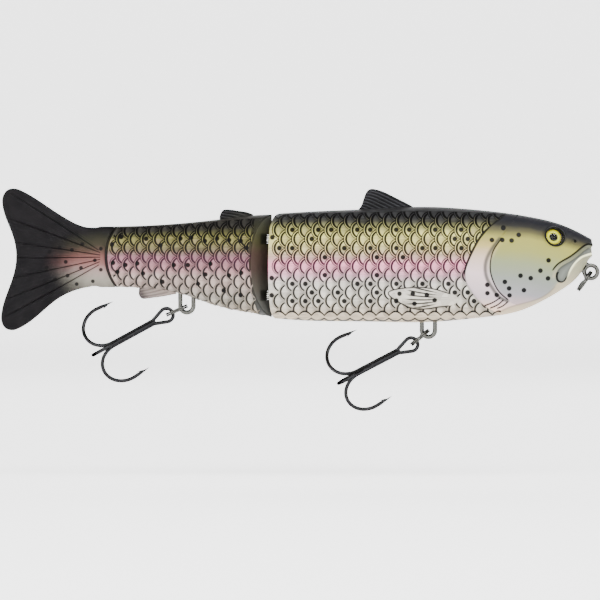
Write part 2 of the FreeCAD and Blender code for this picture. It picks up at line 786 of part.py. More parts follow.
def tail_fin_root():
    """The tail's thick root: seam face in front, tang with a cross hole, knuckle socket behind."""
    loft = body_loft("tail", len(TAIL_SECTIONS), "0", "tail_loft")
    drum_centre = V(dim("seam_at") + dim("seam_radius"), -dim("reach") / 2, dim("seam_height"))
    drum = rod("root_drum", drum_centre, ACROSS, "Dims.seam_radius + Dims.play", "Dims.reach")
    faced = cut("root_faced", loft, drum)
    joined = fuse("root_joined", [faced, tang_block("tang", "", 0.0)])
    hole_start = tail_pin_centre() - ACROSS * dim("tail_pin_length")
    hole = rod(
        "tang_hole", hole_start, ACROSS, "Dims.tail_pin_radius + Dims.play", "Dims.tail_pin_length * 2"
    )
    socket_start = V(dim("knuckle_at"), 0, -dim("reach") / 2)
    socket = rod(
        "knuckle_socket", socket_start, UP, "Dims.knuckle_radius + Dims.knuckle_clearance", "Dims.reach"
    )
    reach = dim("reach")
    behind_low = V(dim("knuckle_at") + 1.5 - reach, -reach / 2, -reach / 2)
    behind = block("behind_root", behind_low, "Dims.reach", "Dims.reach", "Dims.reach")
    finished(cut("tail_fin_root", joined, fuse("root_tools", [hole, socket, behind])), "tail_fin_root")


def tail_pin():
    start = tail_pin_centre() - ACROSS * (dim("tail_pin_length") / 2)
    finished(rod("tail_pin", start, ACROSS, "Dims.tail_pin_radius", "Dims.tail_pin_length"), "tail_pin")


def tail_fin_blade():
    """The forked blade, with a round knuckle along its front edge where the soft tail flexes."""
    plate = DOC.addObject("PartDesign::Body", "tail_plate")
    knuckle_x = dim("knuckle_at")
    top = TAIL_UPPER_EDGE[0]
    bottom = TAIL_LOWER_EDGE[-1]
    upper_start = (knuckle_x, top[1])
    lower_end = (knuckle_x, bottom[1])
    edges = [
        smooth((upper_start,) + TAIL_UPPER_EDGE[1:]),
        smooth(TAIL_UPPER_TIP),
        smooth(TAIL_TRAILING_EDGE),
        smooth(TAIL_LOWER_TIP),
        smooth(TAIL_LOWER_EDGE[:-1] + (lower_end,)),
        straight(lower_end, upper_start),
    ]
    outline = middle_plane_sketch(plate, "tail_outline", edges)
    pad(plate, "tail_plate_pad", outline, "Dims.tail_blade_thickness")
    foot = V(knuckle_x, 0, dim("knuckle_bottom"))
    knuckle = rod("tail_knuckle", foot, UP, "Dims.knuckle_radius", "Dims.knuckle_height")
    finished(fuse("tail_fin_blade", [plate, knuckle]), "tail_fin_blade")


# ---- assembly -----------------------------------------------------------------------------------

def build():
    front_shells()
    rear_shells()
    line_tie_eye()
    hook_hanger("front_hook_hanger", FRONT_HANGER, "Dims.hanger_leg")
    hook_hanger("rear_hook_hanger", REAR_HANGER, "Dims.rear_hanger_leg")
    hinge_eye("hinge_eye_upper", dim("upper_eye_height"))
    hinge_eye("hinge_eye_lower", dim("lower_eye_height"))
    hinge_pin()
    split_ring("line_tie_ring", LINE_TIE, LINE_RING_TRAIL)
    split_ring("front_split_ring", FRONT_HANGER, FRONT_RING_TRAIL)
    split_ring("rear_split_ring", REAR_HANGER, REAR_RING_TRAIL)
    treble_hook("front_treble_hook", hook_pivot(FRONT_HANGER, FRONT_RING_TRAIL), FRONT_HOOK_TRAIL)
    treble_hook("rear_treble_hook", hook_pivot(REAR_HANGER, REAR_RING_TRAIL), REAR_HOOK_TRAIL)
    for name, side in SIDES:
        eye(name, side)
    ballast("front_ballast_fore", BALLAST_FORE, "Dims.ballast_radius", "Dims.ballast_fore_length")
    ballast("front_ballast_aft", BALLAST_AFT, "Dims.ballast_radius", "Dims.ballast_aft_length")
    ballast("rear_ballast", REAR_BALLAST, "Dims.rear_ballast_radius", "Dims.rear_ballast_length")
    small_fin("dorsal_fin", DORSAL, DORSAL_ROOT, "Dims.dorsal_thickness")
    small_fin("adipose_fin", ADIPOSE, ADIPOSE_ROOT, "Dims.small_fin_thickness")
    small_fin("anal_fin", ANAL, ANAL_ROOT, "Dims.small_fin_thickness")
    tail_fin_root()
    tail_pin()
    tail_fin_blade()


def check():
    """Stop if any object failed, or if a sub-part isn't one valid solid."""
    DOC.recompute()
    for piece in DOC.Objects:
        if "Invalid" in piece.State or "Error" in piece.State:
            raise RuntimeError(f"{piece.Label} failed: {piece.State}")
    for piece in PARTS:
        shape = piece.Shape
        if shape.isNull() or not shape.isValid() or len(shape.Solids) != 1:
            raise RuntimeError(f"{piece.Label} isn't one valid solid")


def export():
    os.makedirs("parts", exist_ok=True)
    for piece in PARTS:
        piece.Shape.exportStep(f"parts/{piece.Label}.step")
        print(piece.Label, round(piece.Shape.Volume, 2))


build()
check()
export()
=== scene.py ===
import math

import bpy
import numpy as np
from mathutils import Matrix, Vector
from mathutils.bvhtree import BVHTree


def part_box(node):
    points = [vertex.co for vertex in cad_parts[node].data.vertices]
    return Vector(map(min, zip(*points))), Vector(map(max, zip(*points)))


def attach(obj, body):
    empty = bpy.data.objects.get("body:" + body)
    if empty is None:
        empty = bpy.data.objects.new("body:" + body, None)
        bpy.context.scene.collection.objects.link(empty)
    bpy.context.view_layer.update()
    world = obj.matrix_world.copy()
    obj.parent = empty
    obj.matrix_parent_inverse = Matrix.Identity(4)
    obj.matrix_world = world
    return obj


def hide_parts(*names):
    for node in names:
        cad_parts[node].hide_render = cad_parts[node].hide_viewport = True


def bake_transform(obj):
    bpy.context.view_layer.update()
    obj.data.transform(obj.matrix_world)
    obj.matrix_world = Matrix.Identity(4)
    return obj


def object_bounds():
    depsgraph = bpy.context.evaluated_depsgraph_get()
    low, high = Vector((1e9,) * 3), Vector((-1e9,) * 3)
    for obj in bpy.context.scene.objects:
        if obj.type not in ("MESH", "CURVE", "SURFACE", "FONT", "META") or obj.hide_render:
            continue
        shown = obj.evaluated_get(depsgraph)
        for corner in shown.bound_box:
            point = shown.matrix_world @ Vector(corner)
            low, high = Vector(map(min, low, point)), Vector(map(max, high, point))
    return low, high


# The looks of a two-piece jointed swimbait with a trout finish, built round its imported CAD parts.
# Sizes and places are in millimetres in the row frame (+X to the nose, +Y to the fish's left, +Z up)
# until a mesh is made, which is in metres.

MM = 0.001
RIGHT, LEFT = -1, 1
SIDES = (("right", RIGHT), ("left", LEFT))

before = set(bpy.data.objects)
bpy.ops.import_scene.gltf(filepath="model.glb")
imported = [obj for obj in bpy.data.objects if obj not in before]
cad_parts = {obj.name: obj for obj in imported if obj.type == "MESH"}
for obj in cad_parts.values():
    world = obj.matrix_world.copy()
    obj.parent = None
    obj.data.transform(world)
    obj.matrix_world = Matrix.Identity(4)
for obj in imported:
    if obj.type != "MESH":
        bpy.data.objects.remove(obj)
cad_low, cad_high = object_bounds()


# ---- reading the frame --------------------------------------------------------------------------

def points_of(node):
    """A CAD node's vertices, in mm."""
    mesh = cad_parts[node].data
    places = np.zeros(len(mesh.vertices) * 3)
    mesh.vertices.foreach_get("co", places)
    return places.reshape(-1, 3) / MM


def target(*nodes):
    """Something to cast rays at, made of CAD nodes, in mm."""
    places, faces = [], []
    for node in nodes:
        first = len(places)
        places += [Vector(p) for p in points_of(node)]
        faces += [[first + i for i in face.vertices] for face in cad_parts[node].data.polygons]
    return BVHTree.FromPolygons(places, faces)


def seen(tree, start, way):
    """Where a ray from start first meets the target."""
    place = tree.ray_cast(Vector(start), Vector(way))[0]
    if place is None:
        raise RuntimeError(f"no CAD surface from {start} along {way}")
    return place


def box_mm(node):
    """A CAD node's low and high corners, in mm."""
    low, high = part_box(node)
    return np.array(low) / MM, np.array(high) / MM


def middle_mm(node):
    """The middle of a CAD node's box, in mm."""
    low, high = box_mm(node)
    return (low + high) / 2


def flat_axis(node):
    """The axis of a flat round node, and its centre, in mm."""
    places = points_of(node)
    low, high = places.min(0), places.max(0)
    centre = (low + high) / 2
    axis = np.linalg.svd(places - places.mean(0), full_matrices=False)[2][2]
    return centre, axis


# ---- curves and distances -----------------------------------------------------------------------

def spline(xs, ys):
    """A natural cubic spline through the points, as a function."""
    xs, ys = np.asarray(xs, float), np.asarray(ys, float)
    gap, rise = np.diff(xs), np.diff(ys)
    count = len(xs)
    system, right = np.eye(count), np.zeros(count)
    for i in range(1, count - 1):
        system[i, i - 1:i + 2] = gap[i - 1], 2 * (gap[i - 1] + gap[i]), gap[i]
        right[i] = 3 * (rise[i] / gap[i] - rise[i - 1] / gap[i - 1])
    bend = np.linalg.solve(system, right)

    def value(x):
        x = np.asarray(x, float)
        i = np.clip(np.searchsorted(xs, x) - 1, 0, count - 2)
        past = x - xs[i]
        slope = rise[i] / gap[i] - gap[i] * (2 * bend[i] + bend[i + 1]) / 3
        return ys[i] + past * (slope + past * (bend[i] + past * (bend[i + 1] - bend[i]) / (3 * gap[i])))

    return value


def curve(points, count=60, closed=False):
    """Points evenly along a smooth curve through a few points."""
    points = np.array(points, float)
    if closed:
        points = np.vstack([points[-2:], points, points[:3]])
    along = np.r_[0, np.cumsum(np.linalg.norm(np.diff(points, axis=0), axis=1))]
    first, last = (along[2], along[-3]) if closed else (0, along[-1])
    t = np.linspace(first, last, count)
    return np.stack([spline(along, points[:, i])(t) for i in range(points.shape[1])], -1)


def line_distance(x, z, line):
    """Distance to a line of points, and on which side of it: positive on its left."""
    best = np.full(np.shape(x), 1e9)
    side = np.ones(np.shape(x))
    for (ax, az), (bx, bz) in zip(line[:-1], line[1:]):
        dx, dz = bx - ax, bz - az
        t = np.clip(((x - ax) * dx + (z - az) * dz) / (dx * dx + dz * dz), 0, 1)
        away = np.hypot(x - ax - t * dx, z - az - t * dz)
        nearer = away < best
        best = np.where(nearer, away, best)
        side = np.where(nearer, np.sign(dx * (z - az) - dz * (x - ax)), side)
    return best, side


def inside_distance(x, z, outline):
    """Signed distance to a closed outline, negative inside."""
    best, _ = line_distance(x, z, np.vstack([outline, outline[:1]]))
    within = np.zeros(np.shape(x), bool)
    for (ax, az), (bx, bz) in zip(outline, np.roll(outline, -1, axis=0)):
        crosses = (az > z) != (bz > z)
        with np.errstate(divide="ignore", invalid="ignore"):
            within ^= crosses & (x < ax + (z - az) * (bx - ax) / (bz - az))
    return np.where(within, -best, best)


def step(value, low, high):
    """Rises smoothly from 0 at low to 1 at high; low may be above high."""
    t = np.clip((value - low) / (high - low), 0, 1)
    return t * t * (3 - 2 * t)


def ridge(away, width):
    """1 on a line and falling smoothly to 0 within about twice the width of it."""
    return np.exp(-(away / width) ** 2)


def clipped(away):
    """Distances cut off at MARK_REACH on both sides of an edge."""
    return np.clip(away, -MARK_REACH, MARK_REACH)


def smaller(a, b):
    """The smaller of two numbers, arrays or shader fields."""
    return (a + b - abs(a - b)) / 2


def larger(a, b):
    """The larger of two numbers, arrays or shader fields."""
    return (a + b + abs(a - b)) / 2


# ---- the scale pattern --------------------------------------------------------------------------

class Lattice:
    """Rows of overlapping scales. A scale's free edge is an arc that bulges towards the tail.

    Row 0 lies at level; the rows above it are closer or wider apart than those below.
    """

    OVAL, SWEEP = 0.94, 0.66

    def __init__(self, pitch, above, below, start, level, rear_limit):
        self.pitch = pitch
        self.above = above
        self.below = below
        self.start = start
        self.level = level
        self.rear_limit = rear_limit

    def ahead(self, x, height):
        """How far ahead of its scale's free edge a place is, its scale's column and row, and how
        much longer that reach is than the straight distance to the edge.

        It works on arrays and on shader fields alike, so the relief and the paint agree.
        """
        depth = self.level - height
        rows_down = larger(depth, 0) / self.below + smaller(depth, 0) / self.above
        row = rows_down // 1
        share = rows_down - row
        odd = row % 2
        upper = x - self.start - odd * (self.pitch / 2) - self.curl(share)
        lower = x - self.start - (1 - odd) * (self.pitch / 2) - self.curl(1 - share)
        upper_ahead, lower_ahead = upper % self.pitch, lower % self.pitch
        gap = lower_ahead - upper_ahead
        is_lower = larger(0 - gap, 0) / (abs(gap) + 1e-6)
        column = (upper // self.pitch) * (1 - is_lower) + (lower // self.pitch) * is_lower
        spread = self.spread(share * (1 - is_lower) + (1 - share) * is_lower)
        return smaller(upper_ahead, lower_ahead), column, row + is_lower, spread

    def curl(self, share):
        """How far an edge's arc has swept forward at a share of the way to the next row."""
        return (1 - (1 - share ** 2.0 * self.OVAL) ** 0.5) * (self.SWEEP * self.pitch)

    def spread(self, share):
        """How much an edge's slant lengthens a reach measured along the body."""
        steepness = self.OVAL * self.SWEEP * self.pitch / self.above
        slant = share ** 2.0 * steepness ** 2 / (1 - share ** 2.0 * self.OVAL)
        return smaller((1 + slant) ** 0.5, 2.5)

    def cell(self, column, row, ahead):
        """The middle of a scale."""
        drop = row * (self.below if row > 0 else self.above)
        return self.start + (column + (row % 2) / 2) * self.pitch + ahead, self.level - drop


FRONT_SCALES = Lattice(4.128, 2.92, 2.76, -97.95, 1.76, -102.3)
REAR_SCALES = Lattice(3.92, 2.72, 2.72, -110.9, 2.3, -155.4)

# Which scales carry a black spot, by row; rows count downwards from the pink one.
FRONT_SPOTS = {
    -4: (0, 2, 3, 5, 6, 8, 9, 11, 13),
    -3: (1, 12, 13),
    -2: (-1, 0, 4, 6, 8, 10, 11, 13),
    -1: (2, 6, 8),
    1: (2, 6),
    2: (0, 1, 5, 6, 8, 10, 12),
    3: (1, 3, 6, 12, 13),
    4: (0, 1, 2, 4, 6, 8, 14),
}
REAR_SPOTS = (
    (-150.2, 11.2), (-142.2, 10.6), (-131.2, 10.7), (-127.8, 11.0), (-123.4, 9.9), (-119.5, 10.7),
    (-115.7, 10.2), (-112.0, 9.9), (-153.1, 8.8), (-137.6, 8.5), (-110.1, 7.7), (-152.8, 2.9),
    (-148.8, 2.2), (-145.0, 2.7), (-133.3, 2.2), (-128.8, 2.2), (-121.6, 2.6), (-151.4, 0.0),
    (-143.2, -0.5), (-123.2, -0.8), (-115.7, -1.1), (-111.8, -0.3), (-137.0, -3.2), (-125.6, -3.8),
    (-117.4, -5.9), (-112.0, -7.4),
)
HEAD_SPOTS = (
    (-28.4, 14.1), (-23.5, 11.9), (-32.1, 10.3), (-28.8, 10.3), (-25.8, 10.1), (-33.6, -4.2),
    (-33.5, -6.9), (-30.5, -7.5), (-28.0, -3.2), (-26.6, -5.3), (-26.4, -7.6), (-23.0, -1.2),
    (-21.8, -5.9), (-19.7, -2.0), (-16.6, 0.4), (-14.1, -2.1), (-14.0, 3.7),
)
FIN_SPOTS = ((-61.5, -7.0), (-57.3, -7.0), (-52.8, -7.4), (-50.3, -9.1), (-56.7, -10.2))
EDGE_SPOTS = ((-101.9, 11.0), (-102.1, -1.9), (-102.1, -7.4))
TAIL_SPOTS = (
    (-164.5, 12.5), (-168.1, 11.2), (-162.7, 8.9), (-170.0, 7.8), (-166.0, 7.0), (-173.2, 6.4),
    (-156.7, 7.4), (-158.6, 3.7), (-168.0, 3.2), (-156.7, 0.7), (-163.1, 1.3), (-174.1, 1.4),
    (-167.4, -1.2), (-171.4, -2.4), (-159.3, -3.0), (-164.5, -3.9), (-174.9, -2.9), (-172.4, -6.8),
)
SPOT_RADIUS = 0.79
# Marks are followed this far from their edges, and the scales' colours turn to the back's at a level.
MARK_REACH, BACK_LEVEL = 3.0, 16.4

# Head lines in the middle plane's x and z.
GILL_EDGE = (
    (-26.0, 19.6), (-29.0, 17.2), (-32.2, 14.9), (-34.6, 12.7), (-36.9, 9.5), (-38.7, 6.0),
    (-40.1, 2.8), (-40.8, 0.1), (-40.6, -2.4), (-38.7, -6.1), (-35.8, -9.6), (-31.5, -12.6),
    (-26.0, -15.4), (-22.0, -17.4),
)
CHEEK_LINE = (
    (-29.6, 10.0), (-31.7, 6.8), (-32.7, 2.8), (-32.6, -0.1), (-31.7, -3.0), (-29.9, -6.2),
    (-27.0, -8.8),
)
CHEEK_BAND = (
    (-29.7, 10.7), (-32.4, 7.0), (-33.9, 3.9), (-34.3, 0.8), (-33.4, -2.8), (-31.7, -5.6),
    (-29.4, -8.3), (-27.0, -9.4),
)
# How both go on, unmarked, to the top and the bottom of the head.
CHEEK_ABOVE, CHEEK_BELOW = ((-22.0, 20.0), (-26.5, 14.5)), ((-22.0, -12.0), (-16.0, -15.0))
THROAT_STROKES = (
    ((-34.6, -10.9), (-31.8, -9.9), (-29.4, -8.4)),
    ((-32.4, -11.5), (-30.2, -10.6), (-28.4, -9.2)),
    ((-30.1, -11.6), (-28.4, -10.9), (-27.0, -9.8)),
)
JAW_LINE = (
    (-31.0, -13.4), (-27.4, -11.6), (-22.7, -10.2), (-17.6, -8.8), (-14.2, -7.0), (-12.0, -4.9),
)
MOUTH_PLATE = (
    (-0.2, 7.3), (-4.2, 5.4), (-7.8, 3.0), (-10.9, 0.8), (-11.7, -1.3), (-10.9, -3.2),
    (-9.2, -3.4), (-7.7, -1.4), (-6.7, 0.8), (-5.1, 3.1), (-2.9, 4.9), (-0.2, 5.8),
)
PECTORAL = (
    (-65.1, -6.7), (-60.2, -5.2), (-55.6, -4.9), (-51.9, -5.2), (-45.5, -7.0), (-42.4, -8.8),
    (-44.8, -10.6), (-48.0, -11.1), (-51.9, -11.7), (-57.4, -11.6), (-61.1, -10.0),
)
PECTORAL_ROOT = (-40.5, -8.9)
RAY_PITCH = math.radians(4.6)
NOSTRIL = (-5.4, 9.8)
LOWER_LIP = ((-7.9, -1.6), (-6.8, 0.7), (-5.2, 3.0), (-3.0, 4.8), (0.3, 5.7))
MOUTH_CORNER = (-10.4, -2.2)


def spot_distance(x, z, spots, radius=SPOT_RADIUS):
    """Distance outside the nearest spot's rim, at most MARK_REACH."""
    best = np.full(np.shape(x), MARK_REACH)
    for sx, sz in spots:
        best = np.minimum(best, np.hypot(x - sx, z - sz) - radius)
    return best


# ---- mesh making --------------------------------------------------------------------------------

def new_mesh(name, places, faces, material, sharp=None, fields=None):
    """A piece from points in mm, with fields of numbers or vectors for its material."""
    mesh = bpy.data.meshes.new(name)
    places = np.asarray(places, np.float32)
    mesh.vertices.add(len(places))
    mesh.vertices.foreach_set("co", (places * MM).ravel())
    sizes = np.array([len(face) for face in faces], np.int32)
    corners = np.concatenate([np.asarray(face, np.int32) for face in faces])
    mesh.loops.add(len(corners))
    mesh.loops.foreach_set("vertex_index", corners)
    mesh.polygons.add(len(sizes))
    mesh.polygons.foreach_set("loop_start", np.r_[0, np.cumsum(sizes)[:-1]].astype(np.int32))
    mesh.update(calc_edges=True)
    mesh.validate()
    mesh.shade_smooth()
    if sharp is not None:
        mesh.set_sharp_from_angle(angle=math.radians(sharp))
    for key, values in (fields or {}).items():
        values = np.asarray(values, np.float32)
        kind = "FLOAT" if values.ndim == 1 else "FLOAT_VECTOR"
        attribute = mesh.attributes.new(key, kind, "POINT")
        attribute.data.foreach_set("value" if values.ndim == 1 else "vector", values.ravel())
    mesh.materials.append(material)
    piece = bpy.data.objects.new(name, mesh)
    bpy.context.scene.collection.objects.link(piece)
    return piece


def fit(piece, body, slot, *nodes):
    """Fix a piece to its body, in place of CAD nodes; the slot is not used."""
    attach(piece, body)
    if nodes:
        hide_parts(*nodes)


def grid_faces(rows, columns, first=0, flip=False, wrap=False):
    """Quads over a grid of rows by columns points."""
    across = columns if wrap else columns - 1
    r, c = np.meshgrid(np.arange(rows - 1), np.arange(across), indexing="ij")
    a = first + r * columns + c
    b = first + r * columns + (c + 1) % columns
    quads = np.stack([a, b, b + columns, a + columns], -1).reshape(-1, 4)
    return quads[:, ::-1] if flip else quads


# ---- materials ----------------------------------------------------------------------------------

# The light on the bait, and the display's curve from light to screen.
STUDIO_LEVEL = 3.0
CURVE_GAIN, CURVE_FOOT, CURVE_TOP, CURVE_SHOULDER = 0.19, 1.133, 1.02, 1.402
CURVE_GREYING, MOST_REFLECTED = 1.15, 0.92


def paint(red, green, blue):
    """The reflectance that shows as a colour, given 0 to 255, in this studio.

    The display curve lifts and greys what it shows, so the paint is deeper than the colour seen.
    """
    shown = [c / 255 for c in (red, green, blue)]
    light = [CURVE_GAIN * c ** CURVE_FOOT / (CURVE_TOP - c) ** CURVE_SHOULDER for c in shown]
    most = max(light)
    return tuple(min(most / STUDIO_LEVEL * (c / most) ** CURVE_GREYING, MOST_REFLECTED) for c in light)


class Field:
    """A number that varies over a surface; arithmetic on it adds nodes."""

    def __init__(self, tree, socket):
        self.tree = tree
        self.socket = socket

    def _math(self, operation, *values):
        node = self.tree.nodes.new("ShaderNodeMath")
        node.operation = operation
        for slot, value in zip(node.inputs, values):
            if isinstance(value, Field):
                self.tree.links.new(value.socket, slot)
            else:
                slot.default_value = value
        return Field(self.tree, node.outputs[0])

    def __add__(self, other):
        return self._math("ADD", self, other)

    def __sub__(self, other):
        return self._math("SUBTRACT", self, other)

    def __rsub__(self, other):
        return self._math("SUBTRACT", other, self)

    def __mul__(self, other):
        return self._math("MULTIPLY", self, other)

    def __truediv__(self, other):
        return self._math("DIVIDE", self, other)

    def __mod__(self, other):
        return self._math("FLOORED_MODULO", self, other)

    def __pow__(self, other):
        return self._math("POWER", self, other)

    def __abs__(self):
        return self._math("ABSOLUTE", self)

    def __floordiv__(self, other):
        return self._math("FLOOR", self / other)

    __radd__ = __add__
    __rmul__ = __mul__

    def step(self, low, high):
        """Rises smoothly from 0 at low to 1 at high; low may be above high."""
        node = self.tree.nodes.new("ShaderNodeMapRange")
        node.interpolation_type = "SMOOTHSTEP"
        self.tree.links.new(self.socket, node.inputs["Value"])
        node.inputs["From Min"].default_value = low
        node.inputs["From Max"].default_value = high
        return Field(self.tree, node.outputs["Result"])


class Look:
    """A material under construction: fields in, one Principled surface out."""

    def __init__(self, name, **surface):
        self.material = bpy.data.materials.new(name)
        self.material.use_nodes = True
        self.tree = self.material.node_tree
        self.shader = self.tree.nodes["Principled BSDF"]
        self.set(**surface)

    def set(self, **surface):
        """Constant inputs of the surface, by name with underscores."""
        for key, value in surface.items():
            self.shader.inputs[key.replace("_", " ").title().replace("Ior", "IOR")].default_value = value

    def node(self, kind, **settings):
        """A new shader node."""
        made = self.tree.nodes.new(kind)
        for key, value in settings.items():
            setattr(made, key, value)
        return made

    def stored(self, key):
        """A vector stored on the mesh."""
        return self.node("ShaderNodeAttribute", attribute_name=key).outputs["Vector"]

    def fields(self, key):
        """Three numbers stored on the mesh."""
        return self.split(self.stored(key))

    def split(self, socket):
        """A vector's three parts."""
        parts = self.node("ShaderNodeSeparateXYZ")
        self.tree.links.new(socket, parts.inputs[0])
        return [Field(self.tree, out) for out in parts.outputs]

    def join(self, *values):
        """A vector socket from three fields or numbers."""
        made = self.node("ShaderNodeCombineXYZ")
        for slot, value in zip(made.inputs, values):
            if isinstance(value, Field):
                self.tree.links.new(value.socket, slot)
            else:
                slot.default_value = value
        return made.outputs[0]

    def object_place(self):
        """The place in the row frame at rest, in mm, as a vector socket."""
        coordinates = self.node("ShaderNodeTexCoord")
        scaled = self.node("ShaderNodeVectorMath", operation="SCALE")
        self.tree.links.new(coordinates.outputs["Object"], scaled.inputs[0])
        scaled.inputs["Scale"].default_value = 1 / MM
        return scaled.outputs[0]

    def noise(self, place, size, detail=2.0, roughness=0.5):
        """Soft noise with features of about size mm, from 0 to 1."""
        made = self.node("ShaderNodeTexNoise")
        self.tree.links.new(place, made.inputs["Vector"])
        made.inputs["Scale"].default_value = 1 / size
        made.inputs["Detail"].default_value = detail
        made.inputs["Roughness"].default_value = roughness
        return Field(self.tree, made.outputs["Fac"])

    def random(self, *values):
        """An even random number for each whole-numbered place."""
        made = self.node("ShaderNodeTexWhiteNoise", noise_dimensions="3D")
        self.tree.links.new(self.join(*values), made.inputs["Vector"])
        return Field(self.tree, made.outputs["Value"])

    def colour_of(self, colour):
        """A colour socket, from a socket or three screen numbers."""
        if not isinstance(colour, tuple):
            return colour
        made = self.node("ShaderNodeRGB")
        made.outputs[0].default_value = (*paint(*colour), 1)
        return made.outputs[0]

    def ramp(self, field, *stops):
        """A colour by a field's value: stops are (value, colour), lowest first."""
        low, high = stops[0][0], stops[-1][0]
        made = self.node("ShaderNodeValToRGB")
        elements = made.color_ramp.elements
        while len(elements) < len(stops):
            elements.new(0.5)
        for element, (value, colour) in zip(elements, stops):
            element.position = (value - low) / (high - low)
            element.color = (*paint(*colour), 1)
        self.tree.links.new(((field - low) / (high - low)).socket, made.inputs[0])
        return made.outputs[0]

    def over(self, below, above, share):
        """One colour over another, by a field."""
        made = self.node("ShaderNodeMix", data_type="RGBA")
        slots = [s for s in made.inputs if s.type == "RGBA"]
        self.tree.links.new(self.colour_of(below), slots[0])
        self.tree.links.new(self.colour_of(above), slots[1])
        self.tree.links.new(share.socket, made.inputs[0])
        return [s for s in made.outputs if s.type == "RGBA"][0]

    def shade(self, colour, amount):
        """A colour made lighter or darker by a field round 1."""
        made = self.node("ShaderNodeVectorMath", operation="SCALE")
        self.tree.links.new(self.colour_of(colour), made.inputs[0])
        self.tree.links.new(amount.socket, made.inputs["Scale"])
        return made.outputs[0]

    def link(self, key, value):
        """Give an input of the surface a socket or a field."""
        socket = value.socket if isinstance(value, Field) else value
        self.tree.links.new(socket, self.shader.inputs[key])

    def bump(self, height, depth, strength=1.0):
        """Fine relief; height is a field and depth what 1 of it is in mm."""
        made = self.node("ShaderNodeBump")
        made.inputs["Strength"].default_value = strength
        made.inputs["Distance"].default_value = depth * MM
        self.tree.links.new(height.socket, made.inputs["Height"])
        self.tree.links.new(made.outputs[0], self.shader.inputs["Normal"])
        return made


FLANK_COLOURS = (
    (-17.0, (92, 92, 90)), (-11.0, (82, 82, 78)), (-5.0, (76, 72, 64)), (1.0, (70, 56, 50)),
    (6.0, (72, 56, 48)), (10.0, (66, 64, 40)), (14.5, (58, 58, 44)), (19.0, (46, 46, 46)),
)


def head_colours(look, level, z, mouth, speckle):
    """The head's colours: cheek, gill plate, throat, lips, a painted highlight along the lower lip and the
    grey plate of the mouth.
    """
    back = BACK_LEVEL
    cheek, throat, _ = look.fields("cheeks")
    lip_highlight, lips, band = look.fields("mouth_parts")
    head = look.ramp(
        level, (-17.0, (214, 206, 188)), (-12.5, (211, 202, 189)), (-9.5, (198, 189, 190)),
        (-6.0, (180, 179, 181)), (-1.0, (171, 174, 169)), (4.0, (173, 177, 154)), (8.0, (181, 181, 131)),
        (12.0, (184, 182, 119)), (14.2, (126, 122, 86)), (back - 0.6, (66, 65, 61)),
        (back + 1.0, (48, 48, 54)), (back + 5.0, (44, 44, 50)),
    )
    plate = look.ramp(
        level, (-14.0, (220, 210, 197)), (-8.0, (202, 196, 198)), (0.0, (212, 205, 206)),
        (5.0, (208, 200, 192)), (9.0, (198, 191, 150)), (13.0, (180, 176, 114)),
        (back - 0.6, (66, 65, 60)), (back + 1.0, (48, 48, 54)),
    )
    under = look.ramp(throat, (0.0, (156, 145, 134)), (0.6, (198, 192, 177)), (6.0, (208, 203, 188)))
    pale = look.ramp(z, (-4.0, (196, 192, 178)), (1.0, (178, 178, 162)), (6.0, (150, 152, 136)))
    grey = look.ramp(mouth, (-2.2, (158, 161, 156)), (-0.9, (142, 145, 139)), (0.0, (104, 106, 98)))
    head = look.over(head, plate, cheek)
    head = look.over(head, under, throat.step(-0.1, 0.3) * 0.85)
    head = look.shade(head, 1.0 + (speckle - 0.5) * 0.06)
    head = look.over(head, (98, 100, 92), band * 0.85)
    head = look.over(head, pale, lips * 0.9)
    head = look.over(head, grey, mouth.step(0.12, -0.12))
    # Painted highlight along the lower lip's ridge.
    return look.over(head, (222, 222, 212), lip_highlight)


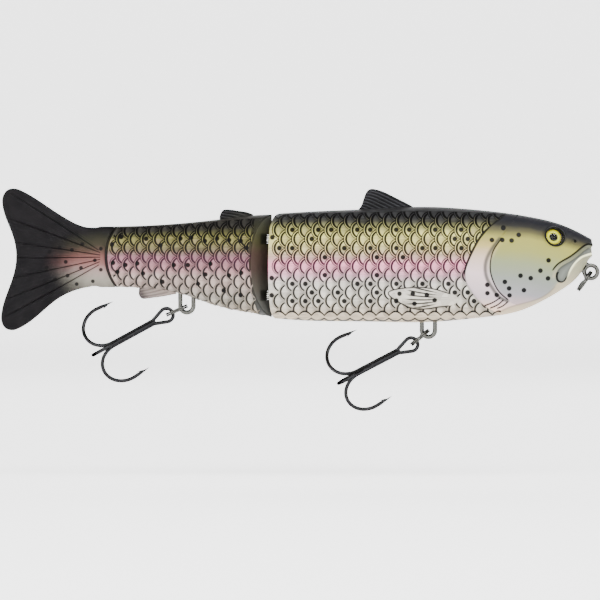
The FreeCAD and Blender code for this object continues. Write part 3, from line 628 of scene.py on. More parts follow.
def body_look(name, lattice, with_head, painted_light_level, olive_painted_shade):
    """The printed trout finish: scales, spots and colour bands under a clear coat, with painted
    highlights, shadows and shade on the scales.
    """
    back = BACK_LEVEL
    look = Look(name, coat_weight=0.03, coat_roughness=0.15, specular_ior_level=0.04)
    x, height, z = look.fields("place")
    spot, gill, mouth = look.fields("marks")
    ink, tone, scaled = look.fields("paint")
    place = look.stored("place")
    mottle = look.noise(place, 5.0, 3.0)
    speckle = look.noise(place, 0.42, 2.0, 0.7)
    ahead, column, row, spread = lattice.ahead(x, height)
    stroke = ahead / spread
    luck = look.random(column, row, 0.0)
    hue = look.random(column, row, 5.0)

    drift = (mottle - 0.5) * 2.2
    level = tone + drift
    # Painted shade: the rear section's copy of this finish is darkened, most on its olive upper half, as
    # if it lay in less light than the front.
    light = painted_light_level * (1 - level.step(-1.5, 7.0) * olive_painted_shade)
    fill = look.ramp(
        level, (-18.0, (205, 199, 187)), (-14.0, (202, 196, 186)), (-10.0, (205, 203, 198)),
        (-3.5, (207, 205, 202)), (-1.2, (208, 192, 197)), (0.6, (213, 189, 197)), (2.6, (217, 190, 200)),
        (4.2, (206, 190, 188)), (6.2, (198, 191, 172)), (8.6, (205, 202, 170)), (12.0, (207, 205, 166)),
        (14.2, (176, 175, 136)), (back - 0.4, (102, 101, 88)), (back + 0.8, (76, 76, 76)),
        (back + 5.0, (56, 56, 58)),
    )
    fill = look.shade(fill, (1.0 + (luck - 0.6) * 0.5 + (speckle - 0.5) * 0.36) * light)
    dull = hue.step(0.72, 0.9) * level.step(3.0, 7.0) * level.step(14.0, 12.0)
    fill = look.over(fill, (176, 166, 140), dull * 0.5)
    # Painted highlight: a pale band just inside each scale's free edge, where its raised rim catches the
    # light.
    rim = look.ramp(
        level, (-16.0, (216, 209, 197)), (-3.0, (218, 217, 213)), (2.6, (219, 192, 201)),
        (6.5, (212, 205, 182)), (12.0, (212, 211, 174)), (back, (136, 134, 112)),
        (back + 1.4, (70, 70, 72)),
    )
    rim = look.shade(rim, light)
    dark = look.ramp(
        level, (-16.0, (46, 42, 36)), (-8.0, (30, 32, 30)), (-1.5, (34, 30, 34)), (2.6, (72, 36, 54)),
        (5.4, (24, 19, 15)), (9.0, (9, 9, 6)), (back, (4, 4, 3)), (back + 1.6, (2, 2, 2)),
    )
    inside = scaled.step(-0.08, 0.08)
    inside = inside * (x - ahead).step(lattice.rear_limit - 0.05, lattice.rear_limit + 0.05)
    rim_highlight_share = stroke.step(0.26, 0.36) * stroke.step(0.66, 0.54) * inside
    line_end = level.step(-2.0, 4.0) * 0.2 + 1.08
    line_start = level.step(-2.0, 4.0) * 0.17 + 0.36
    line_share = (stroke - line_start).step(-0.05, 0.07) * (line_end - stroke).step(-0.05, 0.07)
    # Painted shadow: a thin dark line along each scale's raised free edge.
    edge_shadow_share = stroke.step(0.38, 0.28) * (level.step(-3.0, 4.0) * 0.62 + 0.38)
    colour = look.over(fill, rim, rim_highlight_share * 0.85)
    if olive_painted_shade:
        colour = look.over(colour, (148, 134, 130), level.step(-4.5, 0.5) * level.step(6.0, 3.5) * 0.42)
        colour = look.over(colour, (206, 172, 166), level.step(-12.0, -4.0) * level.step(2.0, -2.0) * 0.2)
        colour = look.over(colour, (104, 100, 92), level.step(12.5, 17.0) * 0.34)
    # The printed line and the painted edge shadow, together.
    lines = larger(line_share, edge_shadow_share) * inside
    colour = look.over(colour, dark, lines * 0.97)
    # Painted shade: each scale darkens towards where it slips under the scale ahead.
    painted_root_shade = (ahead - lattice.pitch * 0.84).step(-1.5, 0.1) * inside * 0.4
    colour = look.over(colour, dark, painted_root_shade)

    if with_head:
        head = head_colours(look, tone + drift * 0.4, z, mouth, speckle)
        colour = look.over(colour, head, gill.step(-0.08, 0.08))
    else:
        bare = look.shade(look.ramp(z + drift, *FLANK_COLOURS), 1.0 + (speckle - 0.5) * 0.3)
        ragged = gill + (ahead.step(0.2, 1.2) - 0.5) * 0.9
        colour = look.over(colour, bare, ragged.step(-0.1, 0.1))
    colour = look.over(colour, (10, 10, 9), ink.step(0.12, -0.1) * 0.96)
    colour = look.over(colour, (8, 8, 8), spot.step(0.14, -0.14) * 0.98)
    look.link("Base Color", colour)
    grain = look.noise(place, 0.16, 2.0, 0.6)
    look.link("Roughness", 0.36 + lines * 0.12 + level.step(13.0, 17.0) * 0.2 + (grain - 0.5) * 0.12)
    relief = (ahead.step(0.0, 0.16) - ahead.step(0.45, 0.62) * 0.5 + ahead.step(0.84, 1.05) * 0.5) * inside
    look.bump(relief + (grain - 0.5) * 0.12 + (mottle - 0.5) * 0.3, 0.11, 0.7)
    return look.material


def flank_look():
    """The bare moulded faces at the hinge, oversprayed with the back's and the belly's colours, with
    painted shadow round the slots and the colours lifted as painted light.
    """
    look = Look("hinge_face_finish", coat_weight=0.1, coat_roughness=0.25, specular_ior_level=0.2)
    place = look.object_place()
    x, _, z = look.split(place)
    mottle = look.noise(place, 4.0, 3.0)
    spray = look.noise(place, 0.35, 2.0, 0.7)
    colour = look.ramp(z + (mottle - 0.5) * 3.0, *FLANK_COLOURS)
    # Painted shadow round each hinge slot.
    for middle in SLOT_MIDDLES:
        slot_painted_shadow = abs(z - middle).step(2.0, 1.4) * x.step(HINGE_X - 1.6, HINGE_X - 0.6)
        colour = look.over(colour, (10, 9, 8), slot_painted_shadow * 0.85)
    # Painted light: the faces take the flank colours about twice as light as the skin's bare margin does,
    # against the shade they sit in; the spray is random speckle.
    colour = look.shade(colour, 2.15 + (spray - 0.5) * 0.6)
    look.link("Base Color", colour)
    look.link("Roughness", 0.42 + (spray - 0.5) * 0.2)
    look.bump(spray, 0.03, 0.5)
    return look.material


def fin_look(name, colours, tint_height, lines):
    """Soft rubbery fin with fine streaks along its rays."""
    look = Look(name, specular_ior_level=0.05)
    along, ray, rise = look.fields("rays")
    place = look.object_place()
    streak = look.noise(look.join(along * 0.25, ray * 3.0, 0.0), 1.0, 3.0, 0.6)
    mottle = look.noise(place, 2.5, 3.0)
    colour = look.ramp(rise + (mottle - 0.5) * tint_height, *colours)
    phase = ray % 1.0
    between = smaller(phase, 1 - phase).step(0.3, 0.16) * rise.step(0.02, 0.2) * rise.step(1.0, 0.94)
    colour = look.shade(colour, (0.8 + streak * 0.4) * (1 + between * lines))
    look.link("Base Color", colour)
    look.link("Roughness", 0.4 + streak * 0.2)
    look.bump(streak * 0.6 + look.noise(place, 0.3, 2.0) * 0.4, 0.05, 0.5)
    return look.material


def tail_look():
    """The soft tail: near black with the body's colours fading out of its root."""
    look = Look("soft_tail_finish", specular_ior_level=0.06)
    x, spot, groove = look.fields("tail")
    z, dusk, _ = look.fields("tone")
    field = look.join(x, z, 0.0)
    mottle = look.noise(field, 4.0, 3.0)
    fine = look.noise(field, 0.5, 2.0, 0.7)
    root = look.ramp(
        z + (mottle - 0.5) * 2.0, (-6.0, (180, 178, 170)), (-2.5, (178, 175, 168)), (0.4, (174, 160, 156)),
        (2.6, (164, 132, 128)), (4.8, (150, 113, 107)), (6.6, (112, 88, 76)), (8.4, (72, 66, 50)),
        (11.0, (58, 57, 40)), (13.4, (44, 44, 36)), (16.0, (32, 32, 30)),
    )
    night = look.ramp(mottle, (0.3, (14, 13, 15)), (0.7, (25, 23, 25)))
    shade = (dusk + (mottle - 0.5) * 0.22 + (fine - 0.5) * 0.1).step(0.02, 0.85)
    colour = look.over(root, night, shade)
    colour = look.shade(colour, 1.0 + (fine - 0.5) * 0.16)
    # Painted shade in the dent along each rib.
    colour = look.over(colour, (9, 8, 9), groove.step(0.24, 0.06) * 0.85)
    colour = look.over(colour, (12, 11, 12), spot.step(0.16, -0.14) * 0.92)
    look.link("Base Color", colour)
    look.link("Roughness", 0.5 + (fine - 0.5) * 0.25)
    look.bump(fine * 0.5 + mottle * 0.5, 0.06, 0.5)
    return look.material


def metal_look(name, colour, roughness, grain, edge=1.0, tarnish=0.12):
    """Plated wire with faint drawing marks and duller patches, and a darker sheen at its edges."""
    look = Look(name, metallic=1.0, specular_tint=(edge, edge, edge, 1.0))
    place = look.object_place()
    marks = look.noise(place, grain, 3.0, 0.6)
    patches = look.noise(place, 2.2, 3.0)
    look.link("Base Color", look.shade(colour, 1.0 + (patches - 0.5) * 2 * tarnish + (marks - 0.5) * 0.1))
    look.link("Roughness", roughness + (marks - 0.5) * 0.12 + (patches - 0.5) * 0.1)
    look.bump(marks, 0.02, 0.4)
    return look.material


def eye_look(node, side):
    """The printed iris: a black pupil, a pale ring and a yellow ring, drawn round the disc's axis."""
    centre, axis = flat_axis(node)
    look = Look(f"eye_print_{side}", roughness=0.35, specular_ior_level=0.1)
    place = look.object_place()
    across = look.node("ShaderNodeVectorMath", operation="SUBTRACT")
    look.tree.links.new(place, across.inputs[0])
    pupil_up, pupil_ahead = 0.18, -0.2
    across.inputs[1].default_value = centre + np.array([pupil_ahead, 0, pupil_up])
    away = look.node("ShaderNodeVectorMath", operation="DOT_PRODUCT")
    look.tree.links.new(across.outputs[0], away.inputs[0])
    away.inputs[1].default_value = axis
    length = look.node("ShaderNodeVectorMath", operation="LENGTH")
    look.tree.links.new(across.outputs[0], length.inputs[0])
    depth = Field(look.tree, away.outputs["Value"])
    reach = Field(look.tree, length.outputs["Value"])
    radius = (reach ** 2.0 - depth ** 2.0) ** 0.5
    dx, _, dz = look.split(across.outputs[0])
    fibres = look.noise(look.join(dx / (radius + 0.1), dz / (radius + 0.1), 0.0), 0.16, 3.0, 0.7)
    wobble = radius + (fibres - 0.5) * 0.12
    colour = look.ramp(
        wobble, (0.0, (4, 4, 5)), (1.34, (5, 5, 5)), (1.46, (226, 226, 120)), (1.7, (234, 236, 150)),
        (1.95, (224, 224, 20)), (2.35, (214, 210, 4)), (2.56, (150, 142, 4)), (2.68, (8, 7, 4)),
        (3.4, (10, 10, 10)),
    )
    look.link("Base Color", look.shade(colour, 0.85 + fibres * 0.3))
    look.bump(fibres, 0.03, 0.4)
    return look.material


def dome_look():
    """Clear cast lens over the eye."""
    look = Look(
        "clear_dome_finish", alpha=0.2, ior=1.45, base_color=(0.01, 0.01, 0.01, 1.0), coat_weight=0.25,
        coat_roughness=0.02, specular_ior_level=0.4,
    )
    place = look.object_place()
    ripple = look.noise(place, 1.4, 2.0)
    look.link("Roughness", 0.01 + ripple * 0.03)
    look.bump(ripple, 0.01, 0.2)
    return look.material


# ---- mouldings ----------------------------------------------------------------------------------

# The front section's end face, the rear section's wedge nose and pockets, and the tail's round seam.
HINGE_X = float(middle_mm("hinge_pin")[0])
FACE_OFFSET, FACE_LEAN = 2.8, math.radians(8)
NOSE_RADIUS, FLANK_LEAN = 2.5, math.radians(35)
SLOT_HEIGHT, POCKET_RADIUS, POCKET_SWING = 2.78, 2.18, math.radians(30)
SEAM_X = box_mm("rear_shell_left")[0][0]
SEAM_RADIUS, SEAM_HEIGHT = 16.3, 4.9
SLOT_MIDDLES = [float(middle_mm(f"hinge_eye_{name}")[2]) for name in ("upper", "lower")]


class Hull:
    """A moulding's oval sections, measured on its CAD shells."""

    def __init__(self, shell, stations, width_limit):
        tree = target(shell)
        near, far, probe = 1.5, 60.0, 0.6
        middles, talls, wides = [], [], []
        for x in stations:
            top = seen(tree, (x, near, far), (0, 0, -1)).z
            bottom = seen(tree, (x, near, -far), (0, 0, 1)).z
            middle = (top + bottom) / 2
            if x < width_limit:
                heights = middle - probe, middle, middle + probe
                wides.append((x, max(seen(tree, (x, far, z), (0, -1, 0)).y for z in heights)))
            middles.append(middle)
            talls.append((top - bottom) / 2)
        places, widths = zip(*wides)
        self.width = spline(places, widths)
        lost = np.sqrt(1 - (near / self.width(stations)) ** 2)
        self.middle = spline(stations, middles)
        self.tall = spline(stations, np.array(talls) / lost)


def front_face(y, z):
    """The front section's end face, ahead of the hinge."""
    return HINGE_X + (FACE_OFFSET - abs(y) * math.sin(FACE_LEAN)) / math.cos(FACE_LEAN) + 0 * z


def wedge_plain(y, z):
    """The rear section's wedge nose without its slots."""
    y = abs(y)
    flank = (NOSE_RADIUS - y * math.sin(FLANK_LEAN)) / math.cos(FLANK_LEAN)
    nose = np.sqrt(np.maximum(NOSE_RADIUS ** 2 - y ** 2, 0))
    return HINGE_X + np.where(y < NOSE_RADIUS * math.sin(FLANK_LEAN), nose, flank) + 0 * z


def wedge_face(y, z):
    """The wedge nose with a pocket round each hinge eye, as wide as the eye's legs swing."""
    x = wedge_plain(y, z)
    y = abs(y)
    bottom = -np.sqrt(np.maximum(POCKET_RADIUS ** 2 - y ** 2, 0))
    side = (y * math.cos(POCKET_SWING) - POCKET_RADIUS) / math.sin(POCKET_SWING)
    pocket = HINGE_X + np.where(y < POCKET_RADIUS * math.cos(POCKET_SWING), bottom, side)
    for middle in SLOT_MIDDLES:
        x = np.where(abs(z - middle) < SLOT_HEIGHT / 2, np.minimum(x, pocket), x)
    return x


def seam_face(y, z):
    """The rear section's round end, where the soft tail begins."""
    inside = np.maximum(SEAM_RADIUS ** 2 - (z - SEAM_HEIGHT) ** 2, 0)
    return SEAM_X + SEAM_RADIUS - np.sqrt(inside) + 0 * y


def around(count, tall=18.0, wide=12.4):
    """Angles from the back's middle to the belly's, evenly spaced along an oval."""
    fine = np.linspace(0, math.pi, 2000)
    along = np.r_[0, np.cumsum(np.hypot(np.diff(wide * np.sin(fine)), np.diff(tall * np.cos(fine))))]
    return np.interp(np.linspace(0, along[-1], count), along, fine)


def hull_points(hull, x, angle, inset=0.0, shrink=1.0):
    """Points of the right-hand oval surface, as x, y to the side and z."""
    wide, tall = hull.width(x) * shrink - inset, hull.tall(x) * shrink - inset
    return np.stack([x, wide * np.sin(angle), hull.middle(x) + tall * np.cos(angle)], -1)


def normals_of(grid):
    """Outward unit normals of a grid of points whose rows go down and columns go forward."""
    down = np.gradient(grid, axis=0)
    forward = np.gradient(grid, axis=1)
    normal = np.cross(down, forward)
    normal[0, :, 1] = 0
    normal[-1, :, 1] = 0
    length = np.linalg.norm(normal, axis=-1, keepdims=True)
    return normal / np.maximum(length, 1e-9)


def row_heights(grid, hull):
    """Height on the flank, and arc length beyond it over the back and under the belly."""
    flat_share = 0.9
    z = grid[..., 2]
    middle, tall = hull.middle(grid[..., 0]), hull.tall(grid[..., 0])
    arc = np.linalg.norm(np.diff(grid[..., 1:], axis=0), axis=-1)
    along = np.vstack([np.zeros((1, arc.shape[1])), np.cumsum(arc, axis=0)])
    height = z.copy()
    for sign in (1, -1):
        limit = middle + sign * flat_share * tall
        beyond = (z - limit) * sign > 0
        for column in range(z.shape[1]):
            order = np.argsort(z[:, column], kind="stable")
            at_limit = np.interp(limit[0, column], z[order, column], along[order, column])
            rows = beyond[:, column]
            height[rows, column] = limit[0, column] + (at_limit - along[rows, column])
    return height


def blank_fields(shape):
    """Fields far from any mark."""
    far = np.full(shape, MARK_REACH)
    return {
        "spot": far, "gill": -far, "mouth": far, "ink": far, "tone": None, "scaled": far,
        "cheek": np.zeros(shape), "throat": -far,
        "lips": np.zeros(shape), "lip_highlight": np.zeros(shape), "band": np.zeros(shape),
    }


def scale_relief(lattice, x, height, scaled):
    """Each scale rises from under its neighbour ahead to its own free edge."""
    ahead = lattice.ahead(x, height)[0]
    on = step(scaled, -0.1, 0.3) * ((x - ahead) > lattice.rear_limit)
    rise = step(ahead, 0.0, 0.35) * (1 - 0.75 * np.clip(ahead / lattice.pitch, 0, 1) ** 0.8)
    return on * (rise - 0.3) * 0.3


def crown_height(x):
    """Where the dark of the back begins, over the body and down the forehead."""
    return np.interp(x, (-42, -34, -20, -12, -5, 0), (16.4, 16.0, 14.9, 13.3, 10.9, 9.6))


def head_marks(x, z, fields):
    """The mouth, the cheek and the throat: their ink and their relief."""
    cheek_away = line_distance(x, z, curve(CHEEK_LINE, 50))[0]
    band_away = line_distance(x, z, curve(CHEEK_BAND, 50))[0]
    cheek_side = line_distance(x, z, curve(CHEEK_ABOVE + CHEEK_LINE + CHEEK_BELOW, 60))[1]
    band_side = line_distance(x, z, curve(CHEEK_ABOVE + CHEEK_BAND + CHEEK_BELOW, 60))[1]
    plate = inside_distance(x, z, curve(MOUTH_PLATE, 70, closed=True))
    lip_away = line_distance(x, z, curve(LOWER_LIP, 30))[0]
    jaw_away, jaw_side = line_distance(x, z, curve(JAW_LINE, 30))
    throat = np.full(np.shape(x), MARK_REACH)
    for stroke in THROAT_STROKES:
        throat = np.minimum(throat, line_distance(x, z, curve(stroke, 12))[0] - 0.22)
    over_mouth = step(z - (-0.3 + (x + 13.5) * 0.62), -0.6, 0.4)
    mouth_ink = abs(plate - 1.28) - 0.3 * over_mouth + (1 - over_mouth) * 3
    corner = np.hypot(x - MOUTH_CORNER[0], z - MOUTH_CORNER[1]) - 2.3
    corner_ink = np.maximum(abs(plate + 0.32) - 0.3, corner)
    nostril = np.hypot(x - NOSTRIL[0], z - NOSTRIL[1]) - 0.5
    ink = np.minimum.reduce([cheek_away - 0.22, throat, mouth_ink, corner_ink, nostril])

    gill = fields["gill"]
    fields["mouth"] = clipped(plate)
    fields["cheek"] = step(gill, -0.2, 0.4) * step(band_away * band_side, 2.2, -0.2) * step(z, 13.0, 9.0)
    fields["band"] = step(band_away, 0.95, 0.2) * step(gill, 0.3, 1.0)
    fields["throat"] = np.clip(-jaw_away * jaw_side, -3, 8)
    jaw = step(z - (-1.4 + (x + 7.7) * 0.88), 1.7, 0.7) * step(x, -14.5, -7.0) * step(z, -7.5, -3.5)
    lips = step(plate, 1.15, 0.9) * step(z - (-2.2 + (x + 13.0) * 0.55), -1.0, 0.6)
    fields["lips"] = np.maximum(lips, jaw)
    # The lower lip's ridge: raised, and painted with a highlight.
    fields["lip_highlight"] = step(lip_away, 0.5, 0.2) * step(x, -8.2, -6.8)

    on_band = band_side * cheek_side < 0
    relief = -0.3 * ridge(cheek_away, 0.35)
    relief -= 0.22 * on_band * step(np.minimum(band_away, cheek_away), 0.0, 0.4)
    relief += 0.12 * (gill > 0) * ridge(band_away, 1.2) - 0.22 * ridge(throat + 0.22, 0.3)
    relief -= 0.35 * step(plate, 0.25, -0.35) * step(x, 1.0, -3.0)
    relief += (0.3 * ridge(plate - 0.55, 0.45) - 0.35 * ridge(plate - 1.3, 0.28)) * over_mouth
    relief += 0.22 * fields["lip_highlight"] - 0.5 * step(nostril, 0.25, -0.25) + 0.16 * ridge(nostril - 0.35, 0.25)
    relief += 0.12 * step(fields["throat"], 0.4, 0.0) * ridge(jaw_away, 1.2)
    return ink, relief


def pectoral_marks(x, z, pectoral):
    """The pectoral fin, which is part of the moulding: the ink and the relief of its rays."""
    fan_x, fan_z = x - PECTORAL_ROOT[0], z - PECTORAL_ROOT[1]
    fan = np.arctan2(fan_z, -fan_x) / RAY_PITCH + np.sin(fan_x * 0.35) * 0.12
    reach = np.hypot(fan_x, fan_z)
    width = 0.45 * step(reach, 5.5, 12.5) * step(reach, 21.5, 17.0) - 0.23
    rays = abs(fan - np.round(fan)) * RAY_PITCH * reach - width
    rays = np.where(pectoral < 0.05, np.maximum(rays, pectoral + 0.3), MARK_REACH)
    rays += step(reach, 6.5, 5.0) * MARK_REACH
    edge = abs(pectoral) - 0.2 + step(reach, 6.0, 3.0)
    raised = 0.3 + 0.09 * np.cos(2 * math.pi * fan) * step(reach, 5.0, 9.0)
    return np.minimum(rays, edge), step(pectoral, 0.0, -0.35) * raised


def belly_row(x, z):
    """The ink of the belly's row of lens-shaped scales, and the height of the row's top."""
    share = (x + 66.8) / FRONT_SCALES.pitch
    share = 2 * abs(share - np.round(share))
    top, bottom = -12.6 - 1.3 * share ** 2, -15.65 + 0.9 * share ** 2
    within = step(x, -28.0, -29.0) * step(x, -101.6, -101.0)
    return np.minimum(abs(z - top), abs(z - bottom)) - 0.27 + (1 - within) * 3, top


def front_paint(x, z, height):
    """Every mark on the front section, and its relief, for points at x and z.

    Marks and ink are distances outside the spot, plate or drawn line.
    """
    fields = blank_fields(np.shape(x))
    cells = [FRONT_SCALES.cell(c, row, 2.4) for row, columns in FRONT_SPOTS.items() for c in columns]
    fields["spot"] = spot_distance(x, height, cells + list(HEAD_SPOTS + FIN_SPOTS + EDGE_SPOTS))
    gill_away, gill_side = line_distance(x, z, curve(GILL_EDGE, 90))
    gill = gill_away * gill_side
    fields["gill"] = np.clip(gill, -3, 30)
    gill_ink = gill_away - 0.36 + step(z, 12.0, 15.5) * 0.2 + step(z, 2.0, -4.0) * 0.34
    pectoral = inside_distance(x, z, curve(PECTORAL, 80, closed=True))
    head_ink, head_relief = head_marks(x, z, fields)
    fin_ink, fin_relief = pectoral_marks(x, z, pectoral)
    row_ink, row_top = belly_row(x, z)
    ink = np.minimum.reduce([gill_ink, head_ink, fin_ink])
    fields["ink"] = np.minimum(clipped(ink), row_ink)
    scaled = np.minimum.reduce([-gill, pectoral, 19.7 - height, z - row_top])
    fields["scaled"] = clipped(scaled)
    fields["tone"] = z - (crown_height(x) - BACK_LEVEL) * step(gill, -2, 2)

    relief = scale_relief(FRONT_SCALES, x, height, fields["scaled"]) + head_relief + fin_relief
    low_fade = step(z, -13.0, -9.0) * step(z, 15.5, 12.0)
    cover = 0.25 + 0.75 * np.exp(-np.maximum(gill, 0) / 7.0)
    relief += (0.55 * step(gill, -0.3, 0.35) * cover - 0.18 * ridge(gill, 0.35)) * low_fade
    return fields, relief


def rear_paint(x, z, height):
    """Every mark on the rear section, and its relief."""
    fields = blank_fields(np.shape(x))
    fields["spot"] = spot_distance(x, height, REAR_SPOTS, SPOT_RADIUS * 0.95)
    margin = spline(
        (-14.5, -12.5, -9.0, -5.0, 0.0, 7.0, 12.0, 16.5),
        (-105.4, -106.3, -107.5, -108.3, -108.8, -109.0, -108.4, -107.2),
    )
    fields["gill"] = clipped(x - margin(np.clip(z, -14.5, 16.5)))
    seam = x - seam_face(0, z)
    fields["ink"] = clipped(seam - 1.0)
    below_back = BACK_LEVEL - height + np.interp(x, (-155, -110), (-2.4, 1.0))
    fields["scaled"] = clipped(np.minimum(seam - 1.4, below_back))
    lift = np.interp(x, (-156, -130, -108), (2.4, 2.0, 1.6))
    top = np.interp(x, (-156, -130, -108), (12.2, 13.3, 14.6))
    pink_top = 4.8
    stretch = (BACK_LEVEL - 3.2) / (top - pink_top)
    fields["tone"] = np.where(z < pink_top, z - lift, (z - pink_top) * stretch + pink_top - lift)
    relief = scale_relief(REAR_SCALES, x, height, fields["scaled"])
    return fields, relief


def pack_fields(fields, grid, height):
    """The mesh's fields, in the order that the finish reads them."""
    flat = {key: np.asarray(value, float).ravel() for key, value in fields.items()}
    x, z = grid[..., 0].ravel(), grid[..., 2].ravel()
    return {
        "place": np.stack([x, height.ravel(), z], -1),
        "marks": np.stack([flat["spot"], flat["gill"], flat["mouth"]], -1),
        "paint": np.stack([flat["ink"], flat["tone"], flat["scaled"]], -1),
        "cheeks": np.stack([flat["cheek"], flat["throat"], np.zeros_like(x)], -1),
        "mouth_parts": np.stack([flat["lip_highlight"], flat["lips"], flat["band"]], -1),
    }


def settle(hull, angle, face, offset, inset, sign):
    """x of the points at an offset from an end face, on a skin whose width depends on x."""
    x = face(0 * angle, 0 * angle)
    for _ in range(12):
        place = hull_points(hull, x, angle, inset)
        x = face(place[..., 1], place[..., 2]) + sign * offset
    return x


def rounded_edge(hull, angle, face, radius, sign, count):
    """Columns of points round a skin's edge, from its end face outwards."""
    columns = []
    for a in np.linspace(0, math.pi / 2, count)[:-1]:
        inset, near = radius * (1 - math.sin(a)), radius * (1 - math.cos(a))
        x = settle(hull, angle, face, near, inset, sign)
        columns.append(hull_points(hull, x, angle, inset))
    return np.stack(columns, 1)


def side_skin(hull, angle, start, end, count):
    """The skin's points between two ends, which are an x for each angle."""
    x = start[:, None] + (end - start)[:, None] * np.linspace(0, 1, count)
    return hull_points(hull, x, np.broadcast_to(angle[:, None], x.shape))


EYES = {side: flat_axis(f"eye_iris_{name}") for name, side in SIDES}


def sink_eye(grid, normal, side):
    """Push the skin in under the eye's disc, and lift a soft lid round it."""
    centre, axis = EYES[side]
    axis = axis * np.sign(axis[1] * side)
    away = grid * np.array([1, side, 1]) - centre
    depth = away @ axis
    radius = np.linalg.norm(away - depth[..., None] * axis, axis=-1)
    near = depth > -4.0
    sink = -2.4 * step(radius, 3.05, 2.75) * near
    lid = 0.25 * ridge(radius - 3.5, 0.5) * near
    local = axis * np.array([1, side, 1])
    return grid + sink[..., None] * local + lid[..., None] * normal


def half_skins(section, body, grid_of, end_faces_of, fields, skin, face_material):
    """Both halves of a moulding: each one's skin, then its flat end faces, as one mesh."""
    for name, side in SIDES:
        grid = grid_of(side)
        rows, count = grid.shape[:2]
        places = [grid.reshape(-1, 3)]
        faces = [grid_faces(rows, count, flip=side == LEFT)]
        first = rows * count
        for end in end_faces_of(grid):
            places.append(end.reshape(-1, 3))
            flip = (side == LEFT) == (end[0, 0, 0] > grid[..., 0].mean())
            faces.append(grid_faces(end.shape[0], end.shape[1], first, flip=not flip))
            first += end.shape[0] * end.shape[1]
        extra = first - rows * count
        padded = {key: np.pad(values, ((0, extra), (0, 0))) for key, values in fields.items()}
        places = np.vstack(places) * np.array([1, side, 1])
        piece = new_mesh(f"{section}_skin_{name}", places, np.vstack(faces), skin, 40, padded)
        piece.data.materials.append(face_material)
        is_end = np.arange(len(piece.data.polygons)) >= len(faces[0])
        piece.data.polygons.foreach_set("material_index", is_end.astype(np.int32))
        fit(piece, body, "painted_body", f"{section}_shell_{name}")


def on_middle_plane(grid):
    """A half skin with its first and last rows put back on the middle plane."""
    grid[[0, -1], :, 1] = 0
    return grid


def end_grid(edge, face, count):
    """A flat end face: from the middle plane out to a skin's edge, row by row."""
    share = np.linspace(0, 1, count)
    y = edge[:, None, 1] * share
    z = np.broadcast_to(edge[:, None, 2], y.shape)
    x = face(y, z)
    x[:, -1] = edge[:, 0]
    return np.stack([x, y, z], -1)


def front_section(hull, skin, face_material):
    """Both halves of the front moulding's skin, rounded off at the hinge and closed at the snout."""
    quality = 1.0
    rows, columns, snout_columns = int(196 * quality), int(398 * quality), 13
    angle = around(rows)
    radius = 0.45 + 1.9 * step(np.cos(angle), 0.72, 0.98) + 0.6 * step(-np.cos(angle), 0.8, 0.98)
    rear = rounded_edge(hull, angle, front_face, radius, 1, 8)
    snout_from, snout_to, snout_end = -0.9, 0.45, -0.05
    body = side_skin(hull, angle, settle(hull, angle, front_face, radius, 0.0, 1), snout_from, columns)
    bluntness = 5.0
    reach = np.sin(np.linspace(0, 1, snout_columns + 1)[1:] * math.pi / 2)
    snout_x = snout_from + (snout_to - snout_from) * reach
    shrink = np.maximum(1 - reach ** bluntness, 0) ** (1 / bluntness)
    snout = np.stack([
        hull_points(hull, np.full(rows, min(x, snout_end)), angle, 0.0, share)
        for x, share in zip(snout_x, shrink)
    ], 1)
    upper_lip, lower_lip = ridge(snout[..., 2] - 7.2, 0.9), ridge(snout[..., 2] - 4.9, 1.2)
    snout[..., 0] = snout_x + (0.3 * lower_lip - 0.45 * upper_lip) * reach
    grid = np.concatenate([rear, body, snout], 1)
    normal = normals_of(grid)
    height = row_heights(grid, hull)
    fields, relief = front_paint(grid[..., 0], grid[..., 2], height)
    relief = relief * step(grid[..., 0] - front_face(grid[..., 1], grid[..., 2]), 0.3, 1.2)

    def moved(side):
        return on_middle_plane(sink_eye(grid + normal * relief[..., None], normal, side))

    def end_faces(skin_grid):
        return [end_grid(skin_grid[:, 0], front_face, 14)]

    fields = pack_fields(fields, grid, height)
    half_skins("front", "front_section", moved, end_faces, fields, skin, face_material)


def angle_at(hull, height, inset):
    """The angle at which the wedge nose's rim reaches a height."""
    low, high = 0.0, math.pi
    for _ in range(40):
        middle = np.array([(low + high) / 2])
        x = settle(hull, middle, wedge_plain, 0.0, inset, -1)
        if hull_points(hull, x, middle, inset)[0, 2] > height:
            low = middle[0]
        else:
            high = middle[0]
    return middle[0]


